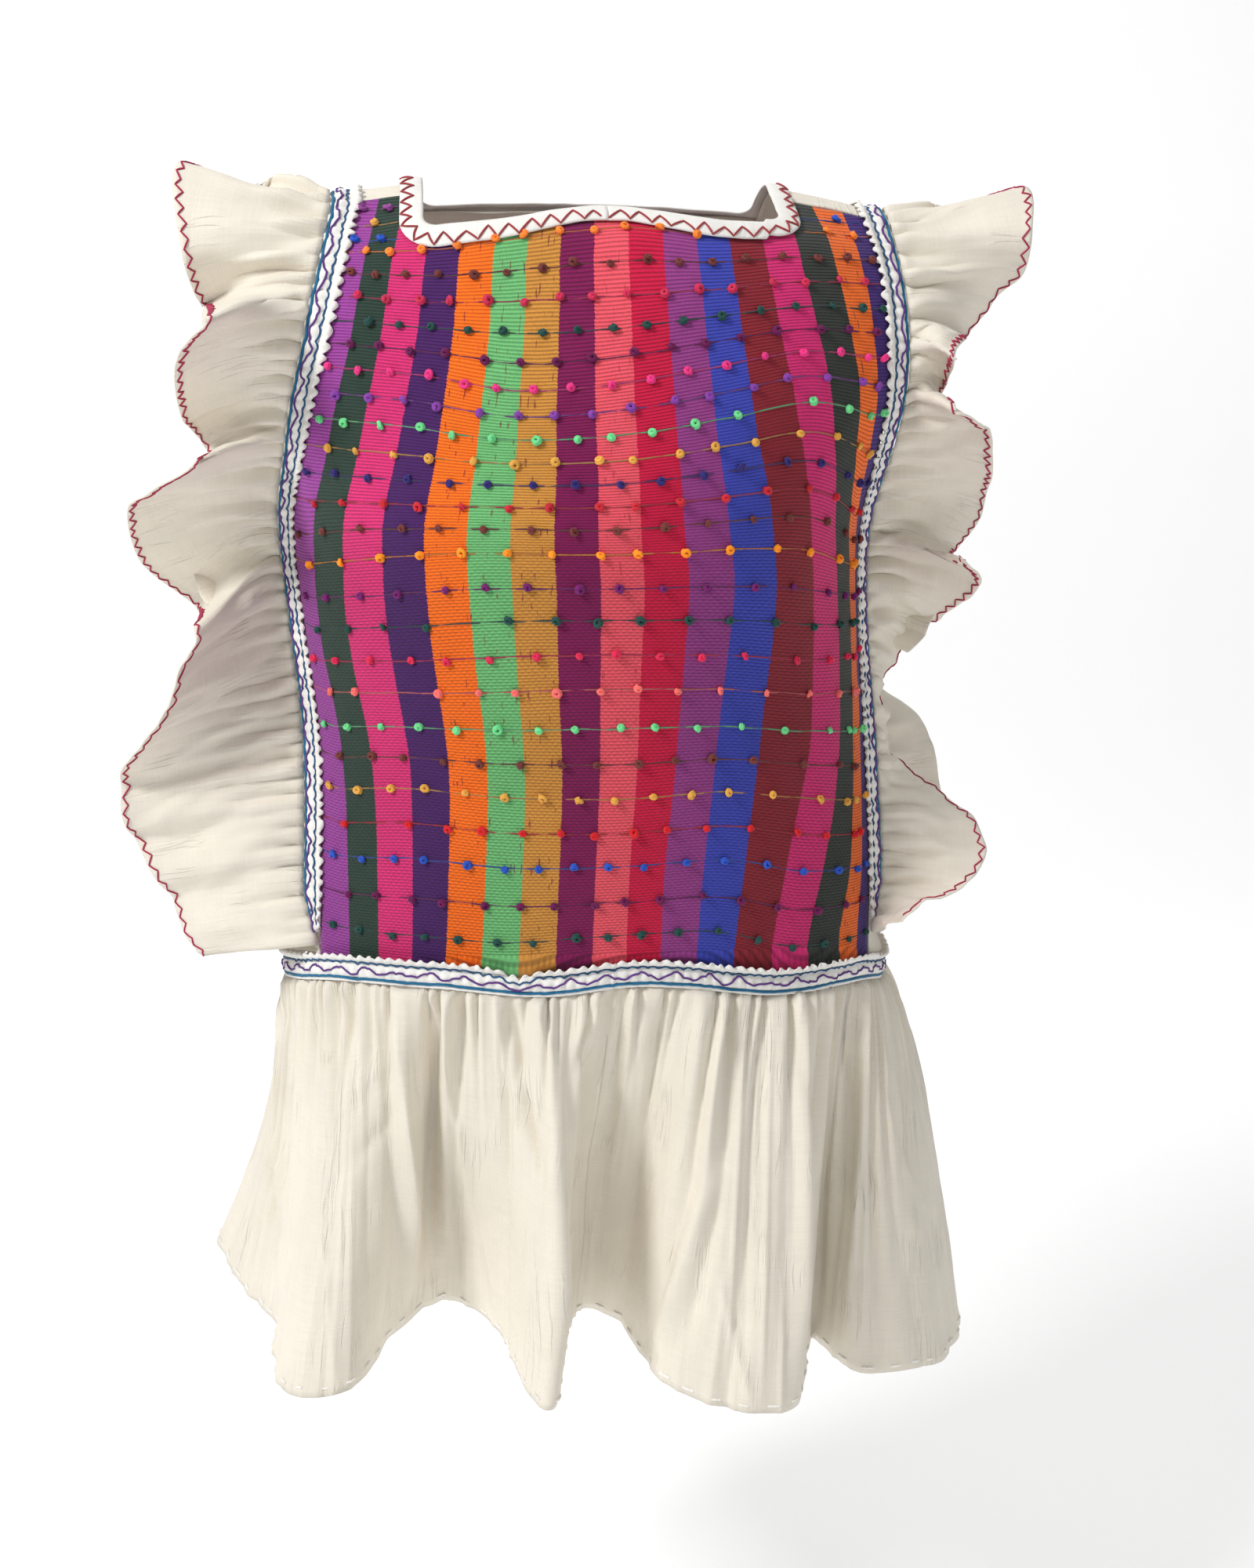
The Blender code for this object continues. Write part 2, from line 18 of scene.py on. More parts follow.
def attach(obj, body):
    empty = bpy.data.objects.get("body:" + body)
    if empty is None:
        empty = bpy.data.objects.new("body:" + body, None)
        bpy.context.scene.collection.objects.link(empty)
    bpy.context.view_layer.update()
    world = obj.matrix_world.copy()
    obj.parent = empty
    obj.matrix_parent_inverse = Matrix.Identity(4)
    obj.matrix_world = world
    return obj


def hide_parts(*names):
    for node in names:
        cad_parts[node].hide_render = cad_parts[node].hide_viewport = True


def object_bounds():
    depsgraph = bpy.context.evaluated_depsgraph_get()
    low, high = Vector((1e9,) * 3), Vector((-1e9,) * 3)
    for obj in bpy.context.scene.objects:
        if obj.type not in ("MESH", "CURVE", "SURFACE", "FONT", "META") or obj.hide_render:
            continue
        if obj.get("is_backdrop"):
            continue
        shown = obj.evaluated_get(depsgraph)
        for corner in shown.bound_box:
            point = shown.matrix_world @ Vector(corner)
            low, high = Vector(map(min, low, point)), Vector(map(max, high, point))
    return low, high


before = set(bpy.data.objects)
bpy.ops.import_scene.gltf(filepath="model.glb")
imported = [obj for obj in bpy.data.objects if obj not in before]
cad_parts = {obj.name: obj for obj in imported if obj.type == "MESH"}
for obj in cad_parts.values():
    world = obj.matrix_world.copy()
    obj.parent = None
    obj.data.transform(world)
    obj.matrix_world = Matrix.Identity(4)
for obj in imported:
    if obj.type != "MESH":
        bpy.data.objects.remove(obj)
CAD_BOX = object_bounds()

bl_info = {
    "name": "Ruffled blouse",
    "version": (1, 0, 0),
    "blender": (4, 5, 0),
    "location": "View3D > Sidebar > Blouse",
    "description": "Builds the cloth, smocking, stitches and knots of a ruffled blouse",
    "category": "Object",
}

# Cloth and seams, as in the solids
WALL = 0.0012
SEAM = 0.0003
EDGE_GAP = 0.0008
BAND_WIDTH = 0.0125
BAND_END = 0.011
BAND_TAPER = 0.024
BAND_TIP = 0.006
NECK_BAND_WIDTH = 0.0120
NECK_FRONT_WIDTH = 0.0160
NECK_HALF_WIDTH = 0.0910
NECK_SHIFT = -0.009
NECK_BACK = 0.830
NECK_CORNER = 0.008
NECK_OVERLAP = 0.005
# Where the neck's front edge crosses the panel: share of the way from the middle to the corner, up
NECK_ROWS = (
    (-1.00, 0.917),
    (-0.68, 0.917),
    (-0.50, 0.920),
    (-0.33, 0.928),
    (-0.12, 0.937),
    (0.08, 0.938),
    (0.25, 0.933),
    (0.50, 0.925),
    (0.70, 0.925),
    (0.88, 0.931),
    (1.00, 0.939),
)
WAIST_HALF_WIDTH = 0.178
WAIST_FRONT_DEPTH = 0.116
WAIST_BACK_DEPTH = 0.108
WAIST_SIDE_TOP = -0.430
WAIST_FRONT_LIFT = 0.032
WAIST_BACK_LIFT = 0.008
# How the smocking draws the seam up and down around the waist: degrees from the front, lift
WAIST_ROWS = (
    (-180, 0.0000),
    (-95, -0.0020),
    (-75, 0.0060),
    (-55, 0.0105),
    (-32, 0.0050),
    (-12, -0.0030),
    (3, 0.0010),
    (12, 0.0000),
    (30, -0.0046),
    (50, 0.0002),
    (60, 0.0012),
    (80, -0.0045),
    (95, -0.0020),
    (180, 0.0000),
)
WAIST_BAND_HEIGHT = 0.0155
UNDERARM_FRONT = 0.40
UNDERARM_BACK = 0.42
UNDERARM_SCOOP = 0.016
SIDE_BULGE = 0.007
FOLD_OPENING = 1.1
FOLD_LEAN = 0.45
RUFFLE_ROOT = 0.010
SEAM_LENGTH = 0.9

# Height, and sway towards the viewer's right
SWAY_ROWS = (
    (-0.700, 0.000),
    (-0.400, 0.002),
    (-0.300, 0.001),
    (-0.235, -0.004),
    (-0.175, -0.008),
    (-0.135, -0.004),
    (-0.090, 0.001),
    (-0.020, 0.005),
    (0.040, 0.005),
)
# A panel's rows from the waist up: edge_x, edge_y, edge_z, centre_y, centre_z, half-angle of the arc
FRONT_ROWS = (
    (0.1570, -0.0540, -0.4210, -0.1160, -0.3960, 52),
    (0.1565, -0.0480, -0.3720, -0.1180, -0.3500, 54),
    (0.1550, -0.0360, -0.3220, -0.1210, -0.3040, 58),
    (0.1555, -0.0220, -0.2830, -0.1240, -0.2640, 63),
    (0.1575, -0.0080, -0.2440, -0.1280, -0.2260, 67),
    (0.1585, -0.0040, -0.2050, -0.1310, -0.1900, 68),
    (0.1575, -0.0160, -0.1730, -0.1300, -0.1580, 64),
    (0.1550, -0.0340, -0.1420, -0.1240, -0.1300, 56),
    (0.1520, -0.0510, -0.1080, -0.1140, -0.1000, 47),
    (0.1470, -0.0580, -0.0800, -0.1000, -0.0700, 40),
    (0.1430, -0.0540, -0.0550, -0.0850, -0.0400, 34),
    (0.1390, -0.0440, -0.0340, -0.0680, -0.0190, 28),
    (0.1350, -0.0240, -0.0130, -0.0240, -0.0010, 20),
)
BACK_ROWS = (
    (0.1570, 0.0500, -0.4240, 0.1080, -0.4220, 52),
    (0.1550, 0.0480, -0.3700, 0.1020, -0.3700, 52),
    (0.1520, 0.0440, -0.3200, 0.0990, -0.3220, 54),
    (0.1490, 0.0420, -0.2700, 0.1000, -0.2750, 56),
    (0.1480, 0.0440, -0.2200, 0.1040, -0.2280, 54),
    (0.1480, 0.0500, -0.1750, 0.1060, -0.1820, 48),
    (0.1470, 0.0550, -0.1300, 0.1040, -0.1360, 42),
    (0.1450, 0.0560, -0.0850, 0.0960, -0.0900, 36),
    (0.1420, 0.0480, -0.0450, 0.0780, -0.0460, 30),
    (0.1380, 0.0240, -0.0200, 0.0400, -0.0130, 24),
    (0.1360, -0.0030, -0.0075, -0.0030, 0.0050, 20),
    (0.1350, -0.0240, -0.0130, -0.0240, -0.0010, 20),
)
# A ruffle's hem from the front waist (0) over the shoulder (0.5): along the band, reach, lift and swing
LEFT_HEM = (
    (0.000, 0.062, -0.015, 0.030),
    (0.050, 0.080, -0.018, 0.020),
    (0.075, 0.098, -0.018, 0.010),
    (0.105, 0.100, -0.018, -0.005),
    (0.120, 0.096, -0.018, -0.020),
    (0.145, 0.075, -0.018, -0.045),
    (0.185, 0.055, -0.022, -0.060),
    (0.212, 0.045, -0.028, -0.045),
    (0.226, 0.056, -0.045, 0.050),
    (0.238, 0.075, -0.034, 0.045),
    (0.255, 0.082, -0.022, 0.025),
    (0.275, 0.078, -0.015, 0.000),
    (0.290, 0.065, -0.011, -0.020),
    (0.304, 0.042, -0.008, -0.040),
    (0.317, 0.044, -0.020, 0.050),
    (0.340, 0.057, -0.016, 0.030),
    (0.365, 0.061, -0.014, 0.000),
    (0.390, 0.057, -0.012, -0.025),
    (0.411, 0.046, -0.011, -0.050),
    (0.424, 0.055, -0.015, 0.035),
    (0.440, 0.063, -0.013, 0.025),
    (0.465, 0.070, -0.006, 0.000),
    (0.500, 0.077, 0.018, 0.014),
)
RIGHT_HEM = (
    (0.000, 0.004, 0.018, -0.030),
    (0.020, 0.017, 0.013, -0.030),
    (0.036, 0.045, 0.003, -0.020),
    (0.052, 0.062, -0.002, -0.006),
    (0.067, 0.058, -0.005, 0.010),
    (0.082, 0.040, -0.012, 0.028),
    (0.100, 0.022, -0.015, 0.046),
    (0.125, 0.019, -0.018, 0.056),
    (0.146, 0.022, -0.018, 0.056),
    (0.170, 0.033, -0.018, 0.044),
    (0.194, 0.051, -0.016, 0.015),
    (0.215, 0.064, -0.009, -0.018),
    (0.231, 0.043, -0.005, -0.040),
    (0.245, 0.063, -0.023, 0.045),
    (0.267, 0.072, -0.011, 0.028),
    (0.296, 0.062, -0.004, 0.003),
    (0.324, 0.040, -0.002, -0.026),
    (0.340, 0.013, -0.003, -0.046),
    (0.355, 0.028, -0.015, 0.026),
    (0.370, 0.025, -0.008, 0.005),
    (0.386, 0.014, -0.006, -0.034),
    (0.400, 0.043, -0.008, 0.040),
    (0.427, 0.058, -0.002, 0.032),
    (0.450, 0.071, 0.000, 0.015),
    (0.480, 0.073, 0.008, -0.005),
    (0.500, 0.079, 0.021, 0.014),
)
BACK_LOBE = (
    (0.20, 0.050, 0.005, 0.030),
    (0.50, 0.062, 0.000, 0.004),
    (0.78, 0.044, -0.003, -0.020),
    (1.00, 0.022, -0.002, 0.046),
)
BACK_LOBE_ENDS = (0.50, 0.61, 0.73, 0.875, 1.00)
# The peplum's hem: turn of the waist above it in degrees, and where the hem hangs
PEPLUM_HEM = (
    (3, -0.004, -0.064, -0.642),
    (9, 0.015, -0.080, -0.642),
    (15, 0.029, -0.134, -0.642),
    (22, 0.052, -0.158, -0.645),
    (31, 0.083, -0.165, -0.649),
    (38, 0.104, -0.157, -0.652),
    (44, 0.119, -0.120, -0.656),
    (49, 0.131, -0.080, -0.660),
    (54, 0.140, -0.094, -0.661),
    (60, 0.155, -0.112, -0.664),
    (68, 0.186, -0.106, -0.668),
    (77, 0.216, -0.084, -0.677),
    (86, 0.238, -0.045, -0.682),
    (93, 0.242, -0.008, -0.682),
    (101, 0.212, 0.020, -0.678),
    (110, 0.216, 0.062, -0.674),
    (120, 0.184, 0.108, -0.668),
    (131, 0.146, 0.088, -0.662),
    (142, 0.118, 0.140, -0.660),
    (153, 0.074, 0.152, -0.656),
    (164, 0.046, 0.106, -0.654),
    (175, 0.014, 0.146, -0.654),
    (186, -0.030, 0.156, -0.654),
    (197, -0.060, 0.108, -0.654),
    (208, -0.090, 0.142, -0.656),
    (219, -0.126, 0.138, -0.656),
    (230, -0.146, 0.094, -0.656),
    (242, -0.184, 0.100, -0.656),
    (253, -0.212, 0.076, -0.650),
    (262, -0.228, 0.044, -0.644),
    (269, -0.222, 0.014, -0.642),
    (277, -0.206, -0.014, -0.652),
    (285, -0.188, -0.050, -0.649),
    (294, -0.184, -0.112, -0.638),
    (300, -0.174, -0.144, -0.634),
    (307, -0.153, -0.157, -0.628),
    (313, -0.134, -0.142, -0.628),
    (319, -0.119, -0.102, -0.630),
    (325, -0.101, -0.074, -0.630),
    (331, -0.082, -0.067, -0.630),
    (338, -0.062, -0.088, -0.631),
    (343, -0.051, -0.128, -0.633),
    (347, -0.044, -0.160, -0.635),
    (351, -0.034, -0.168, -0.636),
    (354, -0.026, -0.142, -0.636),
    (358, -0.016, -0.086, -0.639),
)

# Walls of the thin cloths and the pitch of the smocking's puffs
THIN_WALL = 0.0009
NECK_WALL = 0.0010
PUFF_PITCH = 0.0062
# Radii of the threads, and for the smocking's the share that stands clear and the distance between points
THREAD_RADII = {"teal": 0.00085, "blue": 0.00055, "purple": 0.00060}
NECK_ZIGZAG_RADIUS = 0.00055
RUFFLE_ZIGZAG_RADIUS = 0.00048
HEM_STITCH_RADIUS = 0.00062
CARRIER_RADIUS = 0.00040
THREAD_STANDS = 0.55
THREAD_STEP = 0.0018
# The flat size of one unit across and up a panel, and of one degree round and the whole way down the peplum,
# then the weave's length round the peplum and for one metre of a ruffle's seam
PANEL_FLAT = (0.16, 0.46)
PEPLUM_FLAT = (0.0033, 0.21)
PEPLUM_ROUND = 1.9
RUFFLE_FULLNESS = 1.6
# Distances between a ruffle's gathers, pleats and waves
GATHER_PITCH = 0.0095
PLEAT_PITCH = 0.0165
WAVE_PITCH = 0.040
# How many gathers, pleats and pressed lines go round the peplum, and its hem stitches' distance and length
PEPLUM_GATHERS = 84
PEPLUM_PLEATS = 41
PRESSED_LINES = 110
HEM_STITCH_PITCH = 0.0165
HEM_STITCH_LENGTH = 0.0060
HEM_DEPTH = 0.0043
# The notch in the waistband's top edge: its depth, and its place and half-width in degrees from the front
WAIST_NOTCH = 0.0055
NOTCH_TURN = 343.5
NOTCH_SPREAD = 3.2
# How far the ruffles pull the armhole bands out of the panels' own curve, as a share of the band's width
BAND_PULL = 0.3

# The striped cloth: its stripes from the viewer's left, as screen colours from 0 to 255
STRIPES = (
    (155, 65, 155),
    (40, 62, 52),
    (215, 45, 115),
    (70, 25, 95),
    (250, 110, 20),
    (110, 185, 115),
    (205, 140, 60),
    (125, 15, 80),
    (235, 85, 100),
    (205, 15, 65),
    (150, 60, 135),
    (60, 70, 180),
    (140, 30, 45),
    (215, 40, 115),
    (50, 55, 50),
    (245, 110, 35),
    (65, 35, 115),
)
# How far the stripes lean sideways at seven places across, by height, from the waist up
LEAN_PLACES = (-0.85, -0.45, -0.1, 0.15, 0.4, 0.65, 0.85)
LEAN_ROWS = (
    (-0.40, 0.02, 0.01, -0.01, -0.045, -0.040, 0.005, 0.045),
    (-0.35, 0.015, 0.025, -0.005, -0.045, -0.020, 0.045, 0.10),
    (-0.29, 0.01, 0.045, 0.010, -0.020, 0.000, 0.100, 0.13),
    (-0.23, 0.00, 0.055, 0.030, 0.005, 0.025, 0.100, 0.115),
    (-0.19, 0.015, 0.060, 0.040, 0.020, 0.040, 0.090, 0.10),
    (-0.15, 0.01, 0.040, 0.020, 0.000, 0.020, 0.075, 0.08),
    (-0.10, -0.01, 0.000, -0.030, -0.035, -0.025, 0.035, 0.055),
    (-0.04, -0.035, -0.040, -0.060, -0.060, -0.055, -0.020, 0.015),
)
# How far a weft thread hangs above or below its mean height at seven places across, by height
SAG_PLACES = (-0.9, -0.6, -0.3, 0.0, 0.3, 0.6, 0.9)
SAG_ROWS = (
    (-0.400, -0.002, 0.002, 0.004, 0.010, 0.008, -0.009, -0.015),
    (-0.313, -0.006, 0.005, 0.006, 0.007, 0.008, -0.003, -0.015),
    (-0.240, -0.013, -0.002, 0.007, 0.011, 0.008, -0.002, -0.010),
    (-0.185, -0.013, -0.002, 0.007, 0.009, 0.009, 0.003, -0.014),
    (-0.157, -0.005, -0.002, 0.001, 0.003, 0.007, 0.007, -0.009),
    (-0.104, -0.002, -0.004, -0.010, -0.005, 0.004, 0.012, 0.006),
    (-0.054, -0.006, -0.007, -0.004, -0.001, 0.003, 0.008, 0.008),
    (-0.028, -0.013, -0.007, 0.000, 0.005, 0.003, 0.006, 0.005),
)
# Rows of knots from the top: mean height, whether they stand on the stripes' middles, and their colour
KNOT_ROWS = (
    (-0.004, True, (150, 70, 150)),
    (-0.012, False, (225, 165, 70)),
    (-0.021, True, (30, 80, 190)),
    (-0.028, False, (255, 135, 50)),
    (-0.041, True, (110, 50, 45)),
    (-0.054, False, (200, 40, 80)),
    (-0.067, True, (25, 70, 65)),
    (-0.079, False, (100, 10, 75)),
    (-0.091, True, (230, 50, 130)),
    (-0.104, False, (130, 60, 160)),
    (-0.117, True, (110, 215, 140)),
    (-0.131, False, (225, 165, 70)),
    (-0.144, True, (45, 35, 110)),
    (-0.157, False, (200, 35, 50)),
    (-0.170, True, (110, 50, 45)),
    (-0.185, False, (255, 150, 30)),
    (-0.204, True, (110, 20, 100)),
    (-0.221, False, (25, 70, 65)),
    (-0.239, True, (220, 35, 80)),
    (-0.257, False, (240, 110, 105)),
    (-0.277, True, (110, 215, 140)),
    (-0.295, False, (110, 50, 45)),
    (-0.313, True, (225, 165, 70)),
    (-0.332, False, (210, 25, 35)),
    (-0.351, True, (35, 80, 185)),
    (-0.372, False, (100, 10, 75)),
    (-0.392, True, (25, 70, 65)),
)
CLOTH_WIDTH = 0.34
# Where the knots stop: stripes in from the panel's edges, for knots and for their threads, and up
KNOT_MARGIN = 0.15
CARRIER_MARGIN = 0.12
KNOT_TOP = 0.985
MISSING_KNOTS = 0.02

# Creases of the plain back: from and to, as shares across and up, then width and height
BACK_CREASES = (
    (-0.72, 0.02, -0.60, 0.34, 0.0060, 0.0024),
    (-0.30, 0.00, -0.26, 0.22, 0.0050, 0.0020),
    (0.12, 0.00, 0.16, 0.40, 0.0065, 0.0022),
    (0.20, 0.02, 0.27, 0.30, 0.0050, -0.0020),
    (0.55, 0.00, 0.44, 0.28, 0.0060, 0.0024),
    (0.86, 0.08, 0.50, 0.30, 0.0070, -0.0020),
    (-0.90, 0.58, -0.45, 0.66, 0.0075, 0.0024),
    (-0.88, 0.66, -0.50, 0.78, 0.0060, -0.0020),
    (0.90, 0.62, 0.40, 0.72, 0.0080, 0.0022),
    (-0.35, 0.80, 0.30, 0.74, 0.0090, 0.0018),
)

# Creases, listed one by one: start and end on the cloth, half-width and height of the ridge or trough.
# On a ruffle a place is the share of the way along the band and of the way to the hem
RUFFLE_CREASES = (
    (0.070, 0.05, 0.040, 0.80, 0.0035, 0.0016),
    (0.085, 0.10, 0.055, 0.95, 0.0040, -0.0018),
    (0.108, 0.02, 0.075, 0.90, 0.0030, 0.0020),
    (0.122, 0.15, 0.098, 0.75, 0.0045, -0.0016),
    (0.140, 0.02, 0.105, 0.85, 0.0035, 0.0018),
    (0.160, 0.05, 0.135, 0.70, 0.0040, -0.0020),
    (0.205, 0.02, 0.190, 0.60, 0.0035, 0.0017),
    (0.222, 0.10, 0.208, 0.90, 0.0045, -0.0015),
    (0.246, 0.02, 0.235, 0.80, 0.0030, 0.0018),
    (0.262, 0.08, 0.258, 0.55, 0.0040, -0.0018),
    (0.322, 0.02, 0.316, 0.70, 0.0035, 0.0016),
    (0.338, 0.05, 0.335, 0.90, 0.0040, -0.0016),
    (0.360, 0.02, 0.358, 0.60, 0.0030, 0.0018),
    (0.416, 0.02, 0.414, 0.80, 0.0035, 0.0014),
    (0.438, 0.05, 0.436, 0.70, 0.0045, -0.0017),
    (0.468, 0.02, 0.470, 0.95, 0.0035, 0.0016),
    (0.492, 0.05, 0.494, 0.60, 0.0040, -0.0014),
)
# On the peplum a place is the turn in degrees and the share of the way down
PEPLUM_CREASES = (
    (272, 0.08, 276, 0.45, 0.0040, 0.0035),
    (276, 0.45, 297, 0.98, 0.0040, 0.0035),
    (267, 0.10, 271, 0.45, 0.0045, -0.0040),
    (271, 0.45, 290, 0.95, 0.0045, -0.0035),
    (281, 0.05, 281, 0.45, 0.0022, -0.0030),
    (300, 0.02, 302, 0.50, 0.0020, 0.0016),
    (302, 0.50, 308, 0.97, 0.0020, 0.0018),
    (302, 0.04, 304, 0.50, 0.0018, -0.0018),
    (306, 0.30, 318, 0.22, 0.0040, 0.0014),
    (304, 0.52, 320, 0.36, 0.0050, -0.0016),
    (321, 0.02, 322, 0.90, 0.0070, 0.0120),
    (327, 0.06, 327, 0.90, 0.0045, -0.0120),
    (330, 0.02, 330, 0.28, 0.0030, 0.0040),
    (330, 0.28, 337, 0.72, 0.0025, 0.0022),
    (337, 0.72, 341, 0.98, 0.0025, 0.0018),
    (327, 0.30, 350, 0.24, 0.0016, 0.0010),
    (340, 0.02, 342, 0.25, 0.0030, 0.0040),
    (342.5, 0.02, 344.5, 0.24, 0.0028, -0.0060),
    (344.5, 0.24, 348, 0.45, 0.0028, -0.0055),
    (347, 0.02, 350, 0.15, 0.0030, 0.0040),
    (350, 0.15, 352, 0.98, 0.0048, 0.0085),
    (356.5, 0.10, 357, 0.92, 0.0045, -0.0110),
    (357, 0.02, 354, 0.20, 0.0025, -0.0035),
    (359.5, 0.15, 359.5, 0.50, 0.0020, 0.0016),
    (4, 0.05, 4, 0.60, 0.0020, 0.0014),
    (9, 0.10, 8, 0.80, 0.0020, -0.0014),
    (19.5, 0.02, 19.5, 0.48, 0.0042, 0.0055),
    (19.5, 0.48, 14.5, 0.92, 0.0045, 0.0045),
    (22.5, 0.05, 22.5, 0.48, 0.0035, -0.0050),
    (22.5, 0.48, 18, 0.90, 0.0040, -0.0040),
    (25, 0.05, 25.5, 0.95, 0.0020, 0.0020),
    (27.5, 0.10, 28, 0.90, 0.0020, -0.0018),
    (23.5, 0.70, 29.5, 0.98, 0.0022, 0.0018),
    (30.5, 0.03, 31, 0.98, 0.0020, 0.0018),
    (34, 0.10, 34.5, 0.80, 0.0022, -0.0016),
    (38, 0.02, 38.5, 0.98, 0.0055, 0.0085),
    (44, 0.10, 43.5, 0.92, 0.0048, -0.0110),
    (60, 0.05, 57, 0.98, 0.0026, 0.0030),
    (55.5, 0.10, 53.5, 0.95, 0.0030, -0.0030),
    (66, 0.25, 74, 0.50, 0.0050, -0.0020),
    (70, 0.45, 80, 0.62, 0.0045, 0.0020),
    (72, 0.62, 66, 0.80, 0.0040, 0.0018),
    (81, 0.10, 84, 0.85, 0.0040, -0.0014),
    (140, 0.10, 146, 0.80, 0.0045, 0.0016),
    (160, 0.20, 170, 0.45, 0.0055, -0.0016),
    (186, 0.05, 189, 0.70, 0.0040, 0.0016),
    (212, 0.10, 205, 0.60, 0.0050, -0.0015),
    (236, 0.25, 246, 0.42, 0.0055, 0.0016),
    (262, 0.08, 258, 0.75, 0.0040, -0.0014),
)


def colour_setting(name, description, default):
    """A colour that a user would change."""
    return bpy.props.FloatVectorProperty(
        name=name, description=description, default=default, subtype="COLOR", min=0, max=1
    )


class BlouseSettings(bpy.types.PropertyGroup):
    """Sizes and colours that a user would change"""

    gauze: colour_setting(
        "Gauze", "Colour of the white gauze of the ruffles, sides, back and peplum", (0.81, 0.755, 0.650)
    )
    smocking: colour_setting("Smocking", "Colour of the smocked bands and the neck band", (0.86, 0.84, 0.80))
    zigzag: colour_setting(
        "Zigzag thread", "Colour of the zigzag on the ruffles' hems", (0.38, 0.018, 0.070)
    )
    neck_thread: colour_setting("Neck thread", "Colour of the zigzag on the neck band", (0.33, 0.040, 0.045))
    cord: colour_setting("Teal thread", "Colour of the thick line beside the gathers", (0.010, 0.130, 0.260))
    line: colour_setting("Blue thread", "Colour of the thin line beside the frill", (0.015, 0.080, 0.190))
    wave: colour_setting(
        "Purple thread", "Colour of the waved line between the two others", (0.105, 0.035, 0.210)
    )
    knot_size: bpy.props.FloatProperty(
        name="Knot size", description="Width of a knot", default=0.0061, unit="LENGTH", min=0.002, max=0.01
    )
    rib_pitch: bpy.props.FloatProperty(
        name="Rib pitch",
        description="Distance between the striped cloth's weft ribs",
        default=0.00165,
        unit="LENGTH",
        min=0.0008,
        max=0.005,
        precision=5,
    )
    gather_depth: bpy.props.FloatProperty(
        name="Gather depth",
        description="Height of the small gathers at the seams",
        default=0.0026,
        unit="LENGTH",
        min=0,
        max=0.004,
    )


def linear(colour):
    """A screen colour from 0 to 255 as the light that it stands for."""
    shares = (part / 255 for part in colour)
    return tuple(share / 12.92 if share <= 0.04045 else ((share + 0.055) / 1.055) ** 2.4 for share in shares)


def spline(rows, station):
    """The columns after the first, at this value of the first, on a smooth curve through the rows."""
    last = len(rows) - 1
    index = 0
    while index < last - 1 and station > rows[index + 1][0]:
        index += 1
    before, start, end, after = (rows[min(max(index + step, 0), last)] for step in (-1, 0, 1, 2))
    span = end[0] - start[0]
    share = (station - start[0]) / span
    weights = (
        2 * share**3 - 3 * share**2 + 1,
        share**3 - 2 * share**2 + share,
        share**3 - share**2,
        3 * share**2 - 2 * share**3,
    )
    values = []
    for column in range(1, len(start)):
        slope_in = (end[column] - before[column]) / (end[0] - before[0]) * span
        slope_out = (after[column] - start[column]) / (after[0] - start[0]) * span
        parts = (start[column], slope_in, slope_out, end[column])
        values.append(sum(weight * part for weight, part in zip(weights, parts)))
    return values


def limited(value, low, high):
    """The value, kept from low to high."""
    return min(max(value, low), high)


def smooth_step(share):
    """A smooth change from 0 to 1 as the share goes from 0 to 1."""
    share = limited(share, 0.0, 1.0)
    return share * share * (3 - 2 * share)


def stationed(rows):
    """The rows with an even station from 0 to 1 in front."""
    return [(index / (len(rows) - 1), *row) for index, row in enumerate(rows)]


PANELS = {"front": stationed(FRONT_ROWS), "back": stationed(BACK_ROWS)}


@functools.cache
def panel_row(face, up):
    """The sizes of a panel's row at this height, as its table's columns."""
    return spline(PANELS[face], up)


def panel_point(face, across, up):
    """A point of the front or back: across -1 to 1 between its edges, up 0 at the waist to 1 at the seam."""
    edge_x, edge_y, edge_z, centre_y, centre_z, arc = panel_row(face, up)
    arc = math.radians(arc)
    bend = (math.cos(across * arc) - math.cos(arc)) / (1 - math.cos(arc))
    height = centre_z + (edge_z - centre_z) * across**2
    depth = edge_y + (centre_y - edge_y) * bend
    return Vector((edge_x * math.sin(across * arc) / math.sin(arc), depth, height))


def across_at(face, x, up):
    """How far across the panel a given x lies."""
    edge_x, *_, arc = panel_row(face, up)
    arc = math.radians(arc)
    return math.asin(x * math.sin(arc) / edge_x) / arc


@functools.cache
def edge_rate(face, up):
    """Metres past the panel's edge for one unit of across."""
    step = 0.02
    return (panel_point(face, 1 + step, up) - panel_point(face, 1, up)).length / step


def beyond_edge(face, up, width):
    """The value of across that lies this far past the panel's edge."""
    return 1 + width / edge_rate(face, up)


def face_up(along):
    """The panel and the height on it of a place along the band, from the front waist to the back waist."""
    return ("front", 2 * along) if along <= 0.5 else ("back", 2 - 2 * along)


def band_point(side, along, width):
    """A point past the panels' edges: along runs from the front waist over the shoulder to the back's."""
    face, up = face_up(along)
    edge, point = (panel_point(face, beyond_edge(face, up, past), up) for past in (0.0, width))
    shoulder = smooth_step(abs(along - 0.5) / 0.12)
    ends = smooth_step(min(along, 1 - along) / 0.12)
    across = point - edge
    length = across.length
    across.x += BAND_PULL * width * shoulder * ends
    if length:
        point = edge + across * (length / across.length)
    return Vector((side * point.x, point.y, point.z))


